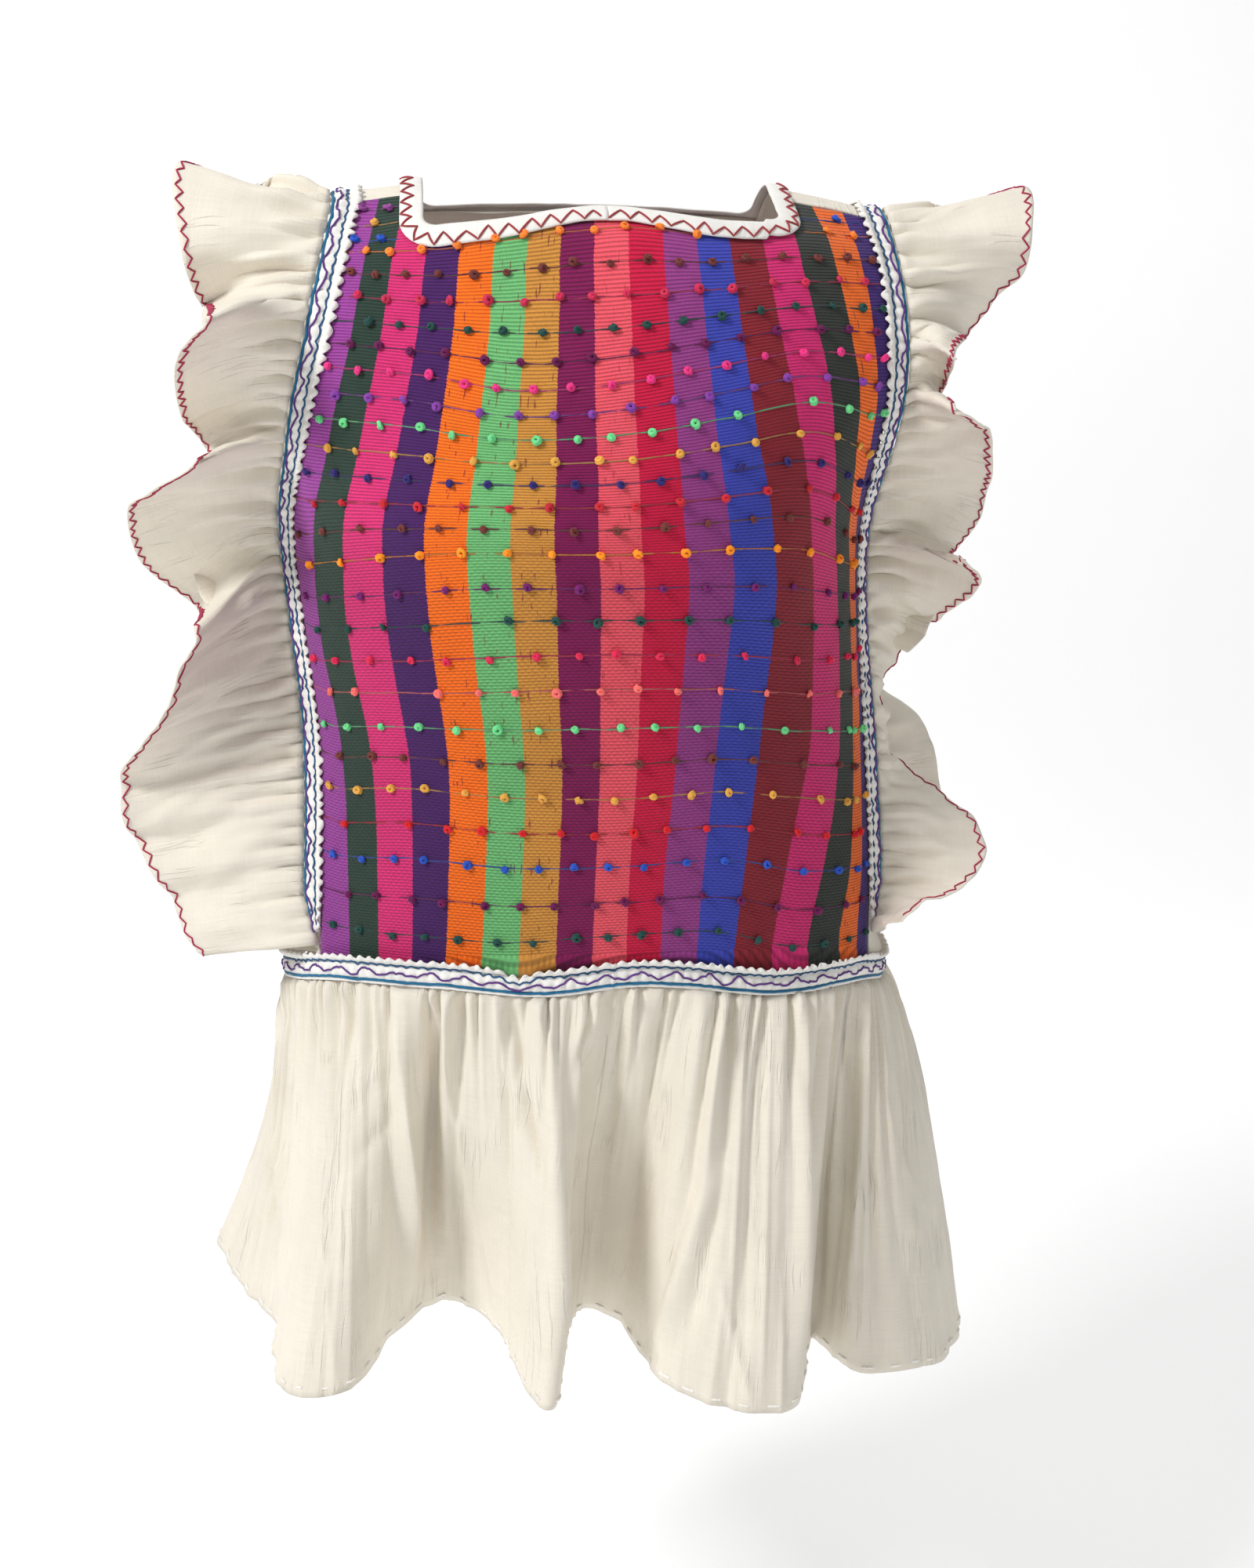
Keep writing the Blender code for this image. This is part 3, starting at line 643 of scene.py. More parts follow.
def waist_point(turn, below):
    """A point of the waist seam: turn in degrees from the front, below its top edge."""
    angle = math.radians(turn)
    front = max(math.cos(angle), 0.0)
    back = max(-math.cos(angle), 0.0)
    lift = WAIST_FRONT_LIFT * front**2 + WAIST_BACK_LIFT * back**2
    depth = WAIST_FRONT_DEPTH if front else WAIST_BACK_DEPTH
    (drawn,) = spline(WAIST_ROWS, (turn + 180) % 360 - 180)
    height = WAIST_SIDE_TOP + lift + drawn - below
    return Vector((WAIST_HALF_WIDTH * math.sin(angle), -depth * math.cos(angle), height))


def worn(point):
    """The point where it hangs on the wearer, swayed with its height."""
    (sway,) = spline(SWAY_ROWS, point.z)
    return point + Vector((sway, 0.0, 0.0))


def band_width(along):
    """The armhole band's width, which tapers to nothing above the waist in front and behind."""
    end = min(along, 1 - along)
    return BAND_WIDTH * limited((end - BAND_END) / BAND_TAPER, 0.0, 1.0)


def unit_out(face, across, up):
    """The outward direction of the front or back at this place."""
    step = 0.004
    over = panel_point(face, across + step, up) - panel_point(face, across - step, up)
    low, high = max(up - step, 0.0), min(up + step, 1.0)
    rise = panel_point(face, across, high) - panel_point(face, across, low)
    return over.cross(rise).normalized() * (1 if face == "front" else -1)


def raised_point(face, x, up, height):
    """A point that far outside the front or back panel's inner face."""
    across = across_at(face, x, up)
    return panel_point(face, across, up) + unit_out(face, across, up) * height


def waist_edge(point):
    """The point of the waistband's top edge under this one."""
    depth = WAIST_FRONT_DEPTH if point.y < 0 else WAIST_BACK_DEPTH
    turn = math.degrees(math.atan2(point.x / WAIST_HALF_WIDTH, -point.y / depth))
    return waist_point(turn, -EDGE_GAP - SEAM)


def up_rate(face, x, up):
    """Metres of cloth for one unit of up."""
    step = 0.01
    top = min(up + step, 1.0)
    return (raised_point(face, x, top, 0) - raised_point(face, x, top - 2 * step, 0)).length / (2 * step)


def neck_up(face, x):
    """Where the neck opening's front or back edge crosses the panel at this x."""
    if face == "back":
        return NECK_BACK
    share = (x - NECK_SHIFT) / NECK_HALF_WIDTH
    (up,) = spline(NECK_ROWS, limited(share, -1.0, 1.0))
    return up


def hem_rows(front_rows):
    """A whole ruffle's hem: the side's own front, then the lobes behind."""
    rows = list(front_rows)
    for start, end in zip(BACK_LOBE_ENDS, BACK_LOBE_ENDS[1:]):
        for share, reach, lift, swing in BACK_LOBE:
            rows.append((start + (end - start) * share, reach, lift, swing))
    return rows


def closed_hem():
    """The peplum's hem with its ends carried on, so that the curve closes."""
    ahead = [(row[0] - 360, *row[1:]) for row in PEPLUM_HEM[-3:]]
    after = [(row[0] + 360, *row[1:]) for row in PEPLUM_HEM[:3]]
    return [*ahead, *PEPLUM_HEM, *after]


def wave_noise(*place):
    """Soft noise from -1 to 1."""
    return noise.noise(Vector(place))


def creased(creases, x, y, x_scale, y_scale):
    """The height of the listed creases at a place, whose two scales give its metres."""
    height = 0.0
    for x0, y0, x1, y1, width, depth in creases:
        along = Vector(((x1 - x0) * x_scale, (y1 - y0) * y_scale))
        away = Vector(((x - x0) * x_scale, (y - y0) * y_scale))
        share = away.dot(along) / along.length_squared
        if not -0.15 < share < 1.15:
            continue
        distance = (away - along * limited(share, 0.0, 1.0)).length
        if distance < 3 * width:
            fade = smooth_step((share + 0.15) / 0.35) * smooth_step((1.15 - share) / 0.5)
            height += depth * fade * math.exp(-((distance / width) ** 2))
    return height


def puff(place, pitch):
    """A row of rounded puffs with sharp valleys between them, from 0 to 1."""
    return abs(math.sin(math.pi * place / pitch))


class Line:
    """A line on the cloth whose length is measured, so that stitches keep their spacing."""

    def __init__(self, point_at, start=0.0, end=1.0, samples=1200):
        self.stations = [start + (end - start) * step / samples for step in range(samples + 1)]
        self.lengths = [0.0]
        last = point_at(start)
        for station in self.stations[1:]:
            point = point_at(station)
            self.lengths.append(self.lengths[-1] + (point - last).length)
            last = point
        self.length = self.lengths[-1]

    def station(self, distance):
        """The station at this distance from the start."""
        index = limited(bisect.bisect_left(self.lengths, distance), 1, len(self.lengths) - 1)
        low, high = self.lengths[index - 1], self.lengths[index]
        share = limited((distance - low) / max(high - low, 1e-9), 0.0, 1.0)
        return self.stations[index - 1] + (self.stations[index] - self.stations[index - 1]) * share

    def distance(self, station):
        """How far along the line a station is."""
        index = limited(bisect.bisect_left(self.stations, station), 1, len(self.stations) - 1)
        low, high = self.stations[index - 1], self.stations[index]
        share = limited((station - low) / (high - low), 0.0, 1.0)
        return self.lengths[index - 1] + (self.lengths[index] - self.lengths[index - 1]) * share


def normal_at(points, column, row, ring):
    """The outward direction of a grid of points at one of them."""
    columns, rows = len(points) - 1, len(points[0]) - 1
    if ring:
        left, right = (column - 1) % columns, (column + 1) % columns
    else:
        left, right = max(column - 1, 0), min(column + 1, columns)
    low, high = max(row - 1, 0), min(row + 1, rows)
    over = points[right][row] - points[left][row]
    rise = points[column][high] - points[column][low]
    return over.cross(rise).normalized()


class Surface:
    """A cloth's outer face as it lies, read at any column and row from 0 to 1."""

    def __init__(self, points, ring, lift):
        self.points = points
        self.columns, self.rows = len(points) - 1, len(points[0]) - 1
        self.ring = ring
        self.lift = lift
        self.normals = [
            [normal_at(points, column, row, ring) for row in range(self.rows + 1)]
            for column in range(self.columns + 1)
        ]

    def at(self, column, row, lift=0.0):
        """The point this far off the cloth."""
        column = (column % 1.0 if self.ring else limited(column, 0.0, 1.0)) * self.columns
        row = limited(row, 0.0, 1.0) * self.rows
        left, low = min(int(column), self.columns - 1), min(int(row), self.rows - 1)
        over, rise = column - left, row - low
        found = []
        for grid in (self.points, self.normals):
            bottom = grid[left][low].lerp(grid[left + 1][low], over)
            top = grid[left][low + 1].lerp(grid[left + 1][low + 1], over)
            found.append(bottom.lerp(top, rise))
        return found[0] + found[1] * (self.lift + lift)

    def inward(self, column, depth, edge):
        """The row this far in from the cloth's edge, which is row 0 or row 1."""
        step = 0.12
        near, far = self.at(column, edge), self.at(column, abs(edge - step))
        share = step * depth / max((near - far).length, 0.0005)
        return abs(edge - share)


def show(piece, finish, body="root"):
    """Puts a new piece in the scene with its material, riding on its body."""
    bpy.context.scene.collection.objects.link(piece)
    piece.data.materials.clear()
    piece.data.materials.append(finish)
    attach(piece, body)
    return piece


def cloth(name, cells, place, relief, spread, finish, wall, outward=True, ring=False, keep=None):
    """A cloth wall on a grid of columns and rows, raised by its relief, and the surface it makes."""
    columns, rows = cells
    shape = bmesh.new()
    bmesh.ops.create_grid(shape, x_segments=columns, y_segments=rows, size=0.5)
    layer = shape.loops.layers.uv.new("UVMap")
    points = [[None] * (rows + 1) for _ in range(columns + 1)]
    spots = {}
    for vert in shape.verts:
        column, row = round((vert.co.x + 0.5) * columns), round((vert.co.y + 0.5) * rows)
        spots[vert] = (column, row)
        points[column][row] = worn(place(column / columns, row / rows))
    raised = [
        [
            points[column][row]
            + normal_at(points, column, row, ring) * relief(column / columns, row / rows)
            for row in range(rows + 1)
        ]
        for column in range(columns + 1)
    ]
    flat = {}
    for vert, (column, row) in spots.items():
        vert.co = raised[column][row]
        flat[vert] = spread(column / columns, row / rows)
    hidden = []
    for face in shape.faces:
        for loop in face.loops:
            loop[layer].uv = flat[loop.vert]
        if keep:
            column = sum(spots[vert][0] for vert in face.verts) / (4 * columns)
            row = sum(spots[vert][1] for vert in face.verts) / (4 * rows)
            if not keep(column, row):
                hidden.append(face)
    bmesh.ops.delete(shape, geom=hidden, context="FACES")
    if ring:
        bmesh.ops.remove_doubles(shape, verts=shape.verts, dist=0.00002)
    mesh = bpy.data.meshes.new(name)
    shape.to_mesh(mesh)
    shape.free()
    mesh.shade_smooth()
    piece = show(bpy.data.objects.new(name, mesh), finish)
    thick = piece.modifiers.new("Wall", "SOLIDIFY")
    thick.thickness = wall
    thick.offset = 1.0 if outward else -1.0
    return piece, Surface(raised, ring, wall if outward else 0.0)


def thread(name, paths, radius, finish, roundness=1):
    """Threads through the points of each path, as one mesh of tubes."""
    curve = bpy.data.curves.new(name, "CURVE")
    curve.dimensions = "3D"
    curve.bevel_depth = radius
    curve.bevel_resolution = roundness
    curve.use_fill_caps = True
    for path in paths:
        line = curve.splines.new("POLY")
        line.points.add(len(path) - 1)
        for point, co in zip(line.points, path):
            point.co = (*co, 1.0)
    holder = bpy.data.objects.new(name, curve)
    bpy.context.scene.collection.objects.link(holder)
    evaluated = holder.evaluated_get(bpy.context.evaluated_depsgraph_get())
    mesh = bpy.data.meshes.new_from_object(evaluated)
    bpy.data.objects.remove(holder)
    bpy.data.curves.remove(curve)
    mesh.name = name
    mesh.shade_smooth()
    return show(bpy.data.objects.new(name, mesh), finish)


def zigzag(surface, line, pitch, depths, edge, seed, lift):
    """The points of a zigzag that follows an edge of the cloth, between two depths from it."""
    draw = random.Random(seed)
    corners = []
    for step in range(int(2 * line.length / pitch) + 1):
        distance = (step + draw.uniform(-0.2, 0.2)) * pitch / 2
        corners.append((limited(distance, 0.0, line.length), depths[step % 2] * draw.uniform(0.8, 1.2)))
    path = []
    for (start, near), (end, far) in zip(corners, corners[1:]):
        for step in range(5):
            column = line.station(start + (end - start) * step / 5)
            depth = near + (far - near) * step / 5
            arch = lift * (1 + 0.8 * math.sin(math.pi * step / 5))
            path.append(surface.at(column, surface.inward(column, depth, edge), arch))
    return path


class Nodes:
    """Short ways to add and join a material's nodes."""

    def __init__(self, tree):
        self.tree = tree

    def add(self, kind, inputs=None, **settings):
        made = self.tree.nodes.new(kind)
        for name, value in settings.items():
            setattr(made, name, value)
        for name, value in (inputs or {}).items():
            self.feed(made.inputs[name], value)
        return made

    def feed(self, socket, value):
        if isinstance(value, bpy.types.NodeSocket):
            self.tree.links.new(value, socket)
        else:
            socket.default_value = value

    def math(self, operation, *values):
        return self.add("ShaderNodeMath", dict(enumerate(values)), operation=operation).outputs[0]

    def times(self, first, second):
        return self.math("MULTIPLY", first, second)

    def plus(self, first, second):
        return self.math("ADD", first, second)

    def times_plus(self, first, second, third):
        return self.math("MULTIPLY_ADD", first, second, third)

    def split(self, place):
        """The X and Y of a place."""
        parts = self.add("ShaderNodeSeparateXYZ", {"Vector": place}).outputs
        return parts["X"], parts["Y"]

    def vector(self, x, y, z=0.0):
        return self.add("ShaderNodeCombineXYZ", {"X": x, "Y": y, "Z": z}).outputs[0]

    def noise(self, place, scale, detail=2.0, rough=0.5):
        inputs = {"Vector": place, "Scale": scale, "Detail": detail, "Roughness": rough}
        return self.add("ShaderNodeTexNoise", inputs).outputs["Fac"]

    def stretched(self, x, y, x_scale, y_scale, detail=2.0, rough=0.5):
        """Noise drawn out along one way of the cloth."""
        return self.noise(self.vector(self.times(x, x_scale), self.times(y, y_scale)), 1.0, detail, rough)

    def bump(self, height, strength, distance, under=None):
        """The normal that shows this height, over another one."""
        made = self.add("ShaderNodeBump", {"Height": height, "Strength": strength, "Distance": distance})
        if under:
            self.feed(made.inputs["Normal"], under)
        return made.outputs["Normal"]

    def mix(self, share, first, second, blend="MIX"):
        made = self.add("ShaderNodeMix", data_type="RGBA", blend_type=blend)
        self.feed(made.inputs["Factor"], share)
        self.feed(made.inputs["A"], first)
        self.feed(made.inputs["B"], second)
        return made.outputs["Result"]

    def steps(self, value, low, high):
        """0 below low and 1 above high."""
        inputs = {"Value": value, "From Min": low, "From Max": high}
        return self.add("ShaderNodeMapRange", inputs, interpolation_type="SMOOTHSTEP").outputs["Result"]


def weave_group():
    """The weave of a plain cloth: its threads, slubs and crinkle, as a height and a shade about 1; the shade
    holds the slubs' own tone and a faint painted shade where the threads dip under.
    """
    group = bpy.data.node_groups.get("Plain weave")
    if group:
        return group
    group = bpy.data.node_groups.new("Plain weave", "ShaderNodeTree")
    for name, kind, value in (
        ("Place", "NodeSocketVector", None),
        ("Warp pitch", "NodeSocketFloat", 0.0006),
        ("Weft pitch", "NodeSocketFloat", 0.0006),
        ("Slubs", "NodeSocketFloat", 0.1),
        ("Crinkle", "NodeSocketFloat", 0.5),
    ):
        socket = group.interface.new_socket(name, in_out="INPUT", socket_type=kind)
        if value is not None:
            socket.default_value = value
    for name in ("Height", "Shade"):
        group.interface.new_socket(name, in_out="OUTPUT", socket_type="NodeSocketFloat")
    nodes = Nodes(group)
    given = nodes.add("NodeGroupInput").outputs
    drift = nodes.times(nodes.noise(given["Place"], 60.0), 0.0012)
    x, y = (nodes.plus(part, drift) for part in nodes.split(given["Place"]))
    warp = nodes.math("SINE", nodes.times(nodes.math("DIVIDE", x, given["Warp pitch"]), math.pi))
    weft = nodes.math("SINE", nodes.times(nodes.math("DIVIDE", y, given["Weft pitch"]), math.pi))
    over = nodes.times(warp, weft)
    slub = nodes.plus(nodes.stretched(x, y, 900.0, 28.0), nodes.stretched(x, y, 28.0, 900.0))
    slub = nodes.plus(slub, -1.0)
    crinkle = nodes.noise(nodes.vector(nodes.times(x, 1.7), y), 230.0, 3.0, 0.6)
    height = nodes.times_plus(over, 0.22, nodes.times(slub, 0.5))
    height = nodes.plus(height, nodes.times(crinkle, given["Crinkle"]))
    # Painted shade: threads a little darker where they dip under and lighter where they pass over; the slubs
    # add their own tone
    shade = nodes.times_plus(over, 0.025, nodes.times_plus(slub, given["Slubs"], 1.0))
    nodes.add("NodeGroupOutput", {"Height": height, "Shade": shade})
    return group


def finish(name, roughness, sheen):
    """A new material with its constant settings. Returns it, its nodes and its shader."""
    made = bpy.data.materials.new(name)
    made.use_nodes = True
    nodes = Nodes(made.node_tree)
    shader = made.node_tree.nodes["Principled BSDF"]
    shader.inputs["Roughness"].default_value = roughness
    shader.inputs["Sheen Weight"].default_value = sheen
    shader.inputs["Specular IOR Level"].default_value = 0.25
    return made, nodes, shader


def shaded(nodes, colour, shade):
    """The colour made lighter or darker by a value about 1."""
    return nodes.mix(1.0, colour, nodes.vector(shade, shade, shade), "MULTIPLY")


def cloth_place(nodes):
    """The piece's own flat places, in metres of cloth."""
    return nodes.add("ShaderNodeUVMap", uv_map="UVMap").outputs["UV"]


def gauze_material(name, colour, pitch=0.00062, slubs=0.11, crinkle=0.6, depth=0.00035, crushed=0.0005):
    """Plain cotton cloth on the piece's own flat places, crushed in fine lines along its fall."""
    made, nodes, shader = finish(name, 0.92, 0.18)
    place = cloth_place(nodes)
    weave = nodes.add("ShaderNodeGroup", node_tree=weave_group())
    inputs = {"Place": place, "Warp pitch": pitch, "Weft pitch": pitch * 1.1}
    inputs.update({"Slubs": slubs, "Crinkle": crinkle})
    for socket, value in inputs.items():
        nodes.feed(weave.inputs[socket], value)
    broad = nodes.noise(place, 14.0, 3.0, 0.55)
    deeper = (*(part * 0.94 for part in colour), 1.0)
    tint = nodes.mix(nodes.steps(broad, 0.35, 0.7), (*colour, 1.0), deeper)
    nodes.feed(shader.inputs["Base Color"], shaded(nodes, tint, weave.outputs["Shade"]))
    x, y = nodes.split(place)
    bent = nodes.times_plus(nodes.noise(place, 12.0), 1.6, nodes.times(x, 90.0))
    streak = nodes.noise(nodes.vector(bent, nodes.times(y, 9.0)), 1.0, 3.0, 0.55)
    line = nodes.steps(nodes.math("ABSOLUTE", nodes.plus(streak, -0.5)), 0.035, 0.0)
    line = nodes.times(line, nodes.steps(nodes.noise(place, 22.0), 0.46, 0.66))
    press = nodes.bump(line, 0.8, crushed)
    nodes.feed(shader.inputs["Normal"], nodes.bump(weave.outputs["Height"], 0.7, depth, press))
    return made


def thread_material(name, colour, pitch=0.0011):
    """Twisted cotton thread."""
    made, nodes, shader = finish(name, 0.7, 0.1)
    place = nodes.add("ShaderNodeTexCoord").outputs["Object"]
    strands = nodes.noise(place, 0.8 / pitch, 2.0, 0.6)
    patch = nodes.noise(place, 40.0)
    shade = nodes.times_plus(strands, 0.5, nodes.times_plus(patch, 0.5, 0.5))
    nodes.feed(shader.inputs["Base Color"], shaded(nodes, (*colour, 1.0), shade))
    nodes.feed(shader.inputs["Normal"], nodes.bump(strands, 0.6, 0.0004))
    return made


def stripes_ramp(nodes, across):
    """The stripes' colours, from a place across the cloth's width."""
    ramp = nodes.add("ShaderNodeValToRGB", {"Fac": nodes.math("DIVIDE", across, CLOTH_WIDTH)})
    ramp.color_ramp.interpolation = "CONSTANT"
    stops = ramp.color_ramp.elements
    for index, colour in enumerate(STRIPES):
        stop = stops[index] if index < 2 else stops.new(index / len(STRIPES))
        stop.position = index / len(STRIPES) + (0.0033 if index else 0.0)
        stop.color = (*linear(colour), 1.0)
    return ramp.outputs["Color"]


def striped_material(settings):
    """Handwoven cloth: toothed warp stripes under raised weft ribs, looser and checked lower down, with
    painted shade in the ribs' grooves and under the bust.
    """
    made, nodes, shader = finish("Striped cloth", 0.85, 0.12)
    place = cloth_place(nodes)
    x, y = nodes.split(place)
    wander = nodes.stretched(x, y, 22.0, 60.0, 3.0)
    row = nodes.math("DIVIDE", nodes.times_plus(wander, 0.0016, y), settings.rib_pitch)
    tooth = nodes.math("PINGPONG", row, 0.5)
    ragged = nodes.stretched(x, y, 300.0, 500.0)
    across = nodes.plus(nodes.times_plus(tooth, 0.0011, x), nodes.times(ragged, 0.0012))
    stripes = stripes_ramp(nodes, across)
    groove = nodes.steps(nodes.math("SINE", nodes.times(row, 2 * math.pi)), -1.0, 0.4)
    # The cloth below the bust: looser and checked there, and also darkened there as painted shade under the
    # bust
    low = nodes.steps(y, -0.145, -0.215)
    warp = nodes.math("SINE", nodes.times(x, math.pi / 0.0016))
    checks = nodes.times(warp, nodes.math("SINE", nodes.times(row, math.pi)))
    fine = nodes.stretched(x, y, 1500.0, 450.0)
    shades = (
        # Painted shade: the grooves between the weft ribs are darker than the ribs' tops
        nodes.times_plus(groove, 0.42, 0.64),
        nodes.times_plus(fine, 0.5, 0.75),
        nodes.times_plus(nodes.noise(place, 16.0, 3.0), 0.3, 0.86),
        nodes.times_plus(nodes.times(checks, 0.16), low, 1.0),
        # Painted shade: 14% darker below the bust
        nodes.times_plus(low, -0.14, 1.0),
    )
    colour = shaded(nodes, stripes, functools.reduce(nodes.times, shades))
    dash = nodes.stretched(x, y, 520.0, 90.0, 1.0)
    light = nodes.add("ShaderNodeRGBToBW", {"Color": stripes}).outputs["Val"]
    flecks = nodes.times(nodes.steps(dash, 0.67, 0.72), nodes.steps(light, 0.2, 0.3))
    colour = nodes.mix(nodes.times(flecks, 0.7), colour, (*linear((110, 25, 40)), 1.0))
    nodes.feed(shader.inputs["Base Color"], colour)
    height = nodes.times_plus(fine, 0.5, nodes.times_plus(checks, nodes.times(low, 0.25), groove))
    nodes.feed(shader.inputs["Normal"], nodes.bump(height, 0.8, 0.0004))
    return made


def floor_material():
    """Plain pale floor, a little bright in itself, as a lit backdrop is."""
    made, nodes, shader = finish("Pale floor", 0.8, 0.0)
    place = nodes.add("ShaderNodeTexCoord").outputs["Object"]
    shade = nodes.times_plus(nodes.noise(place, 1.5), 0.02, 0.98)
    nodes.feed(shader.inputs["Base Color"], shaded(nodes, (0.93, 0.93, 0.93, 1.0), shade))
    shader.inputs["Emission Color"].default_value = (1.0, 1.0, 1.0, 1.0)
    shader.inputs["Emission Strength"].default_value = 0.28
    return made


def lean_at(across, height):
    """How far the stripes lean sideways here."""
    shifts = spline(LEAN_ROWS, limited(height, LEAN_ROWS[0][0], LEAN_ROWS[-1][0]))
    rows = [(-1.0, 0.0), *zip(LEAN_PLACES, shifts), (1.0, 0.0)]
    return spline(rows, limited(across, -1.0, 1.0))[0]


def sag_at(across, height):
    """How far the weft hangs above or below its mean height here."""
    sags = spline(SAG_ROWS, limited(height, SAG_ROWS[0][0], SAG_ROWS[-1][0]))
    return spline(list(zip(SAG_PLACES, sags)), limited(across, SAG_PLACES[0], SAG_PLACES[-1]))[0]


def panel_relief(face, across, up):
    """The soft swells of a panel."""
    fade = smooth_step((1 - abs(across)) / 0.08)
    seed = 3.1 if face == "front" else 8.4
    broad = wave_noise(across * 2.6, up * 6.0, seed)
    fine = wave_noise(across * 8.0, up * 20.0, seed + 5)
    if face == "back":
        return fade * (0.0022 * broad + 0.0007 * fine + creased(BACK_CREASES, across, up, *PANEL_FLAT))
    return fade * (0.0010 * broad + 0.00045 * fine)


def panel_cloth(name, face, cells, strap_cells, look, spread):
    """The front or the back, cut square for the neck between its straps."""
    columns, rows = cells
    neck_columns, neck_rows = strap_cells
    cut = NECK_HALF_WIDTH + NECK_OVERLAP
    level = neck_up(face, 0.0) - NECK_OVERLAP / up_rate(face, 0.0, neck_up(face, 0.0))
    top = 1 - SEAM / 2 / up_rate(face, cut, 1.0)

    @functools.cache
    def spot(column, row):
        step = (column if face == "front" else 1 - column) * columns
        share = row * rows / (rows - neck_rows)
        up = level * share if share <= 1 else level + (top - level) * (share - 1) * (rows / neck_rows - 1)
        edge = beyond_edge(face, up, -EDGE_GAP)
        left, right = (across_at(face, NECK_SHIFT + side * cut, up) for side in (-1, 1))
        if step <= neck_columns:
            across = -edge + (edge + left) * step / neck_columns
        elif step >= columns - neck_columns:
            across = edge - (edge - right) * (columns - step) / neck_columns
        else:
            across = left + (right - left) * (step - neck_columns) / (columns - 2 * neck_columns)
        x = limited(panel_point(face, across, up).x, NECK_SHIFT - cut, NECK_SHIFT + cut)
        bend = neck_up(face, x) - neck_up(face, 0.0)
        up += bend * smooth_step(3 * share - 2) * smooth_step((1 - up) / (1 - level))
        return across, up

    def place(column, row):
        point = panel_point(face, *spot(column, row))
        if row:
            return point
        point = waist_edge(point)
        point.z -= WAIST_NOTCH + 0.001
        return point

    def relief(column, row):
        return panel_relief(face, *spot(column, row)) * smooth_step(row * rows / 6)

    def flat(column, row):
        across, up = spot(column, row)
        return spread(across, panel_point(face, across, up))

    def keep(column, row):
        in_neck = neck_columns < column * columns < columns - neck_columns
        return not (in_neck and row * rows > rows - neck_rows)

    return cloth(name, cells, place, relief, flat, look, WALL, keep=keep)


def build_front(settings):
    """The striped front panel."""

    def spread(across, point):
        stripe = (across - lean_at(across, point.z) + 1) / 2
        return stripe * CLOTH_WIDTH, point.z - sag_at(across, point.z)

    made = striped_material(settings)
    piece, _ = panel_cloth("striped_front", "front", (136, 190), (20, 16), made, spread)
    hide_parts("front_panel")


def build_back(gauze):
    """The plain white back panel."""

    def spread(across, point):
        return across * PANEL_FLAT[0], point.z

    piece, _ = panel_cloth("white_back", "back", (84, 110), (12, 18), gauze, spread)
    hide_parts("back_panel")


def neck_half(side, straight_cells=44, corner_cells=8, side_cells=34):
    """Half of the neck's edge, from the front centre to the back's: face, x, up and the way out."""
    straight = NECK_HALF_WIDTH - NECK_CORNER
    path = []
    for face in ("front", "back"):
        corner_up = neck_up(face, NECK_SHIFT + side * NECK_HALF_WIDTH)
        rate = up_rate(face, NECK_SHIFT + side * straight, corner_up)
        part = []
        for step in range(straight_cells):
            x = NECK_SHIFT + side * straight * step / straight_cells
            part.append((face, x, neck_up(face, x), 0.0, -1.0))
        for step in range(corner_cells + 1):
            angle = math.radians(90 * step / corner_cells)
            x = straight + NECK_CORNER * math.sin(angle)
            up = corner_up + NECK_CORNER * (1 - math.cos(angle)) / rate
            part.append((face, NECK_SHIFT + side * x, up, side * math.sin(angle), -math.cos(angle)))
        start = part[-1][2]
        for step in range(1, side_cells + 1):
            up = start + (1 - start) * step / side_cells
            part.append((face, NECK_SHIFT + side * NECK_HALF_WIDTH, up, side, 0.0))
        path.append(part)
    front, back = path
    return front + back[-2::-1]


def build_neck(settings, band):
    """The white band round the square neck, with its zigzag."""
    right, left = neck_half(1), neck_half(-1)
    loop = right + left[-2::-1]
    count = len(loop) - 1

    def place(column, row):
        face, x, up, out_x, out_up = loop[round(column * count)]
        width = NECK_BAND_WIDTH * (1 - row)
        height = NECK_FRONT_WIDTH * (1 - row) if face == "front" else width
        up += out_up * height / up_rate(face, x, up)
        return raised_point(face, x + out_x * width, up, WALL + EDGE_GAP)

    def relief(column, row):
        wobble = wave_noise(column * 60, row * 2, 1.7)
        return 0.0011 + 0.0011 * math.sin(math.pi * row) ** 0.7 + 0.00035 * wobble

    lengths = [0.0]
    for step in range(count):
        ends = [place(index / count, 0.5) for index in (step, step + 1)]
        lengths.append(lengths[-1] + (ends[1] - ends[0]).length)

    def spread(column, row):
        return lengths[round(column * count)], NECK_BAND_WIDTH * row

    piece, surface = cloth(
        "neck_binding", (count, 9), place, relief, spread, band, NECK_WALL, outward=False, ring=True
    )
    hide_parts("neck_band")
    line = Line(lambda station: surface.at(station, 0.25))
    path = zigzag(surface, line, 0.0108, (0.0008, 0.0068), 0, 11, 0.00025)
    red = thread_material("Brick thread", tuple(settings.neck_thread))
    stitch = thread("neck_zigzag", [path], NECK_ZIGZAG_RADIUS, red)


def smocked_height(place, width, lines, edge, frill):
    """The height of smocking: puffs between its threads, pinched where they run, and a low outer edge."""
    shape = puff(place, PUFF_PITCH)
    if width < 0:
        return frill + 0.0022 * shape * math.sin(math.pi * limited(-width / 0.0042, 0, 1))
    first, last = lines
    between = math.sin(math.pi * limited((width - first) / (last - first), 0, 1))
    height = 0.0020 + 0.0020 * between * (0.2 + 0.8 * shape)
    height += (frill - 0.0021) * smooth_step(1 - width / first)
    for at in lines:
        height -= 0.0006 * math.exp(-(((width - at) / 0.0008) ** 2))
    return height + 0.0004 * shape * smooth_step((width - last) / (edge - last))


def smocking_thread(name, colour, length, point_at, threads):
    """One thread of a smocked band, through points at even steps of its length."""
    radius = THREAD_RADII[colour]
    steps = int(length / THREAD_STEP)
    path = []
    for step in range(steps + 1):
        path.append(point_at(step / steps, length * step / steps, radius * THREAD_STANDS))
    stitch = thread(name, [path], radius, threads[colour])


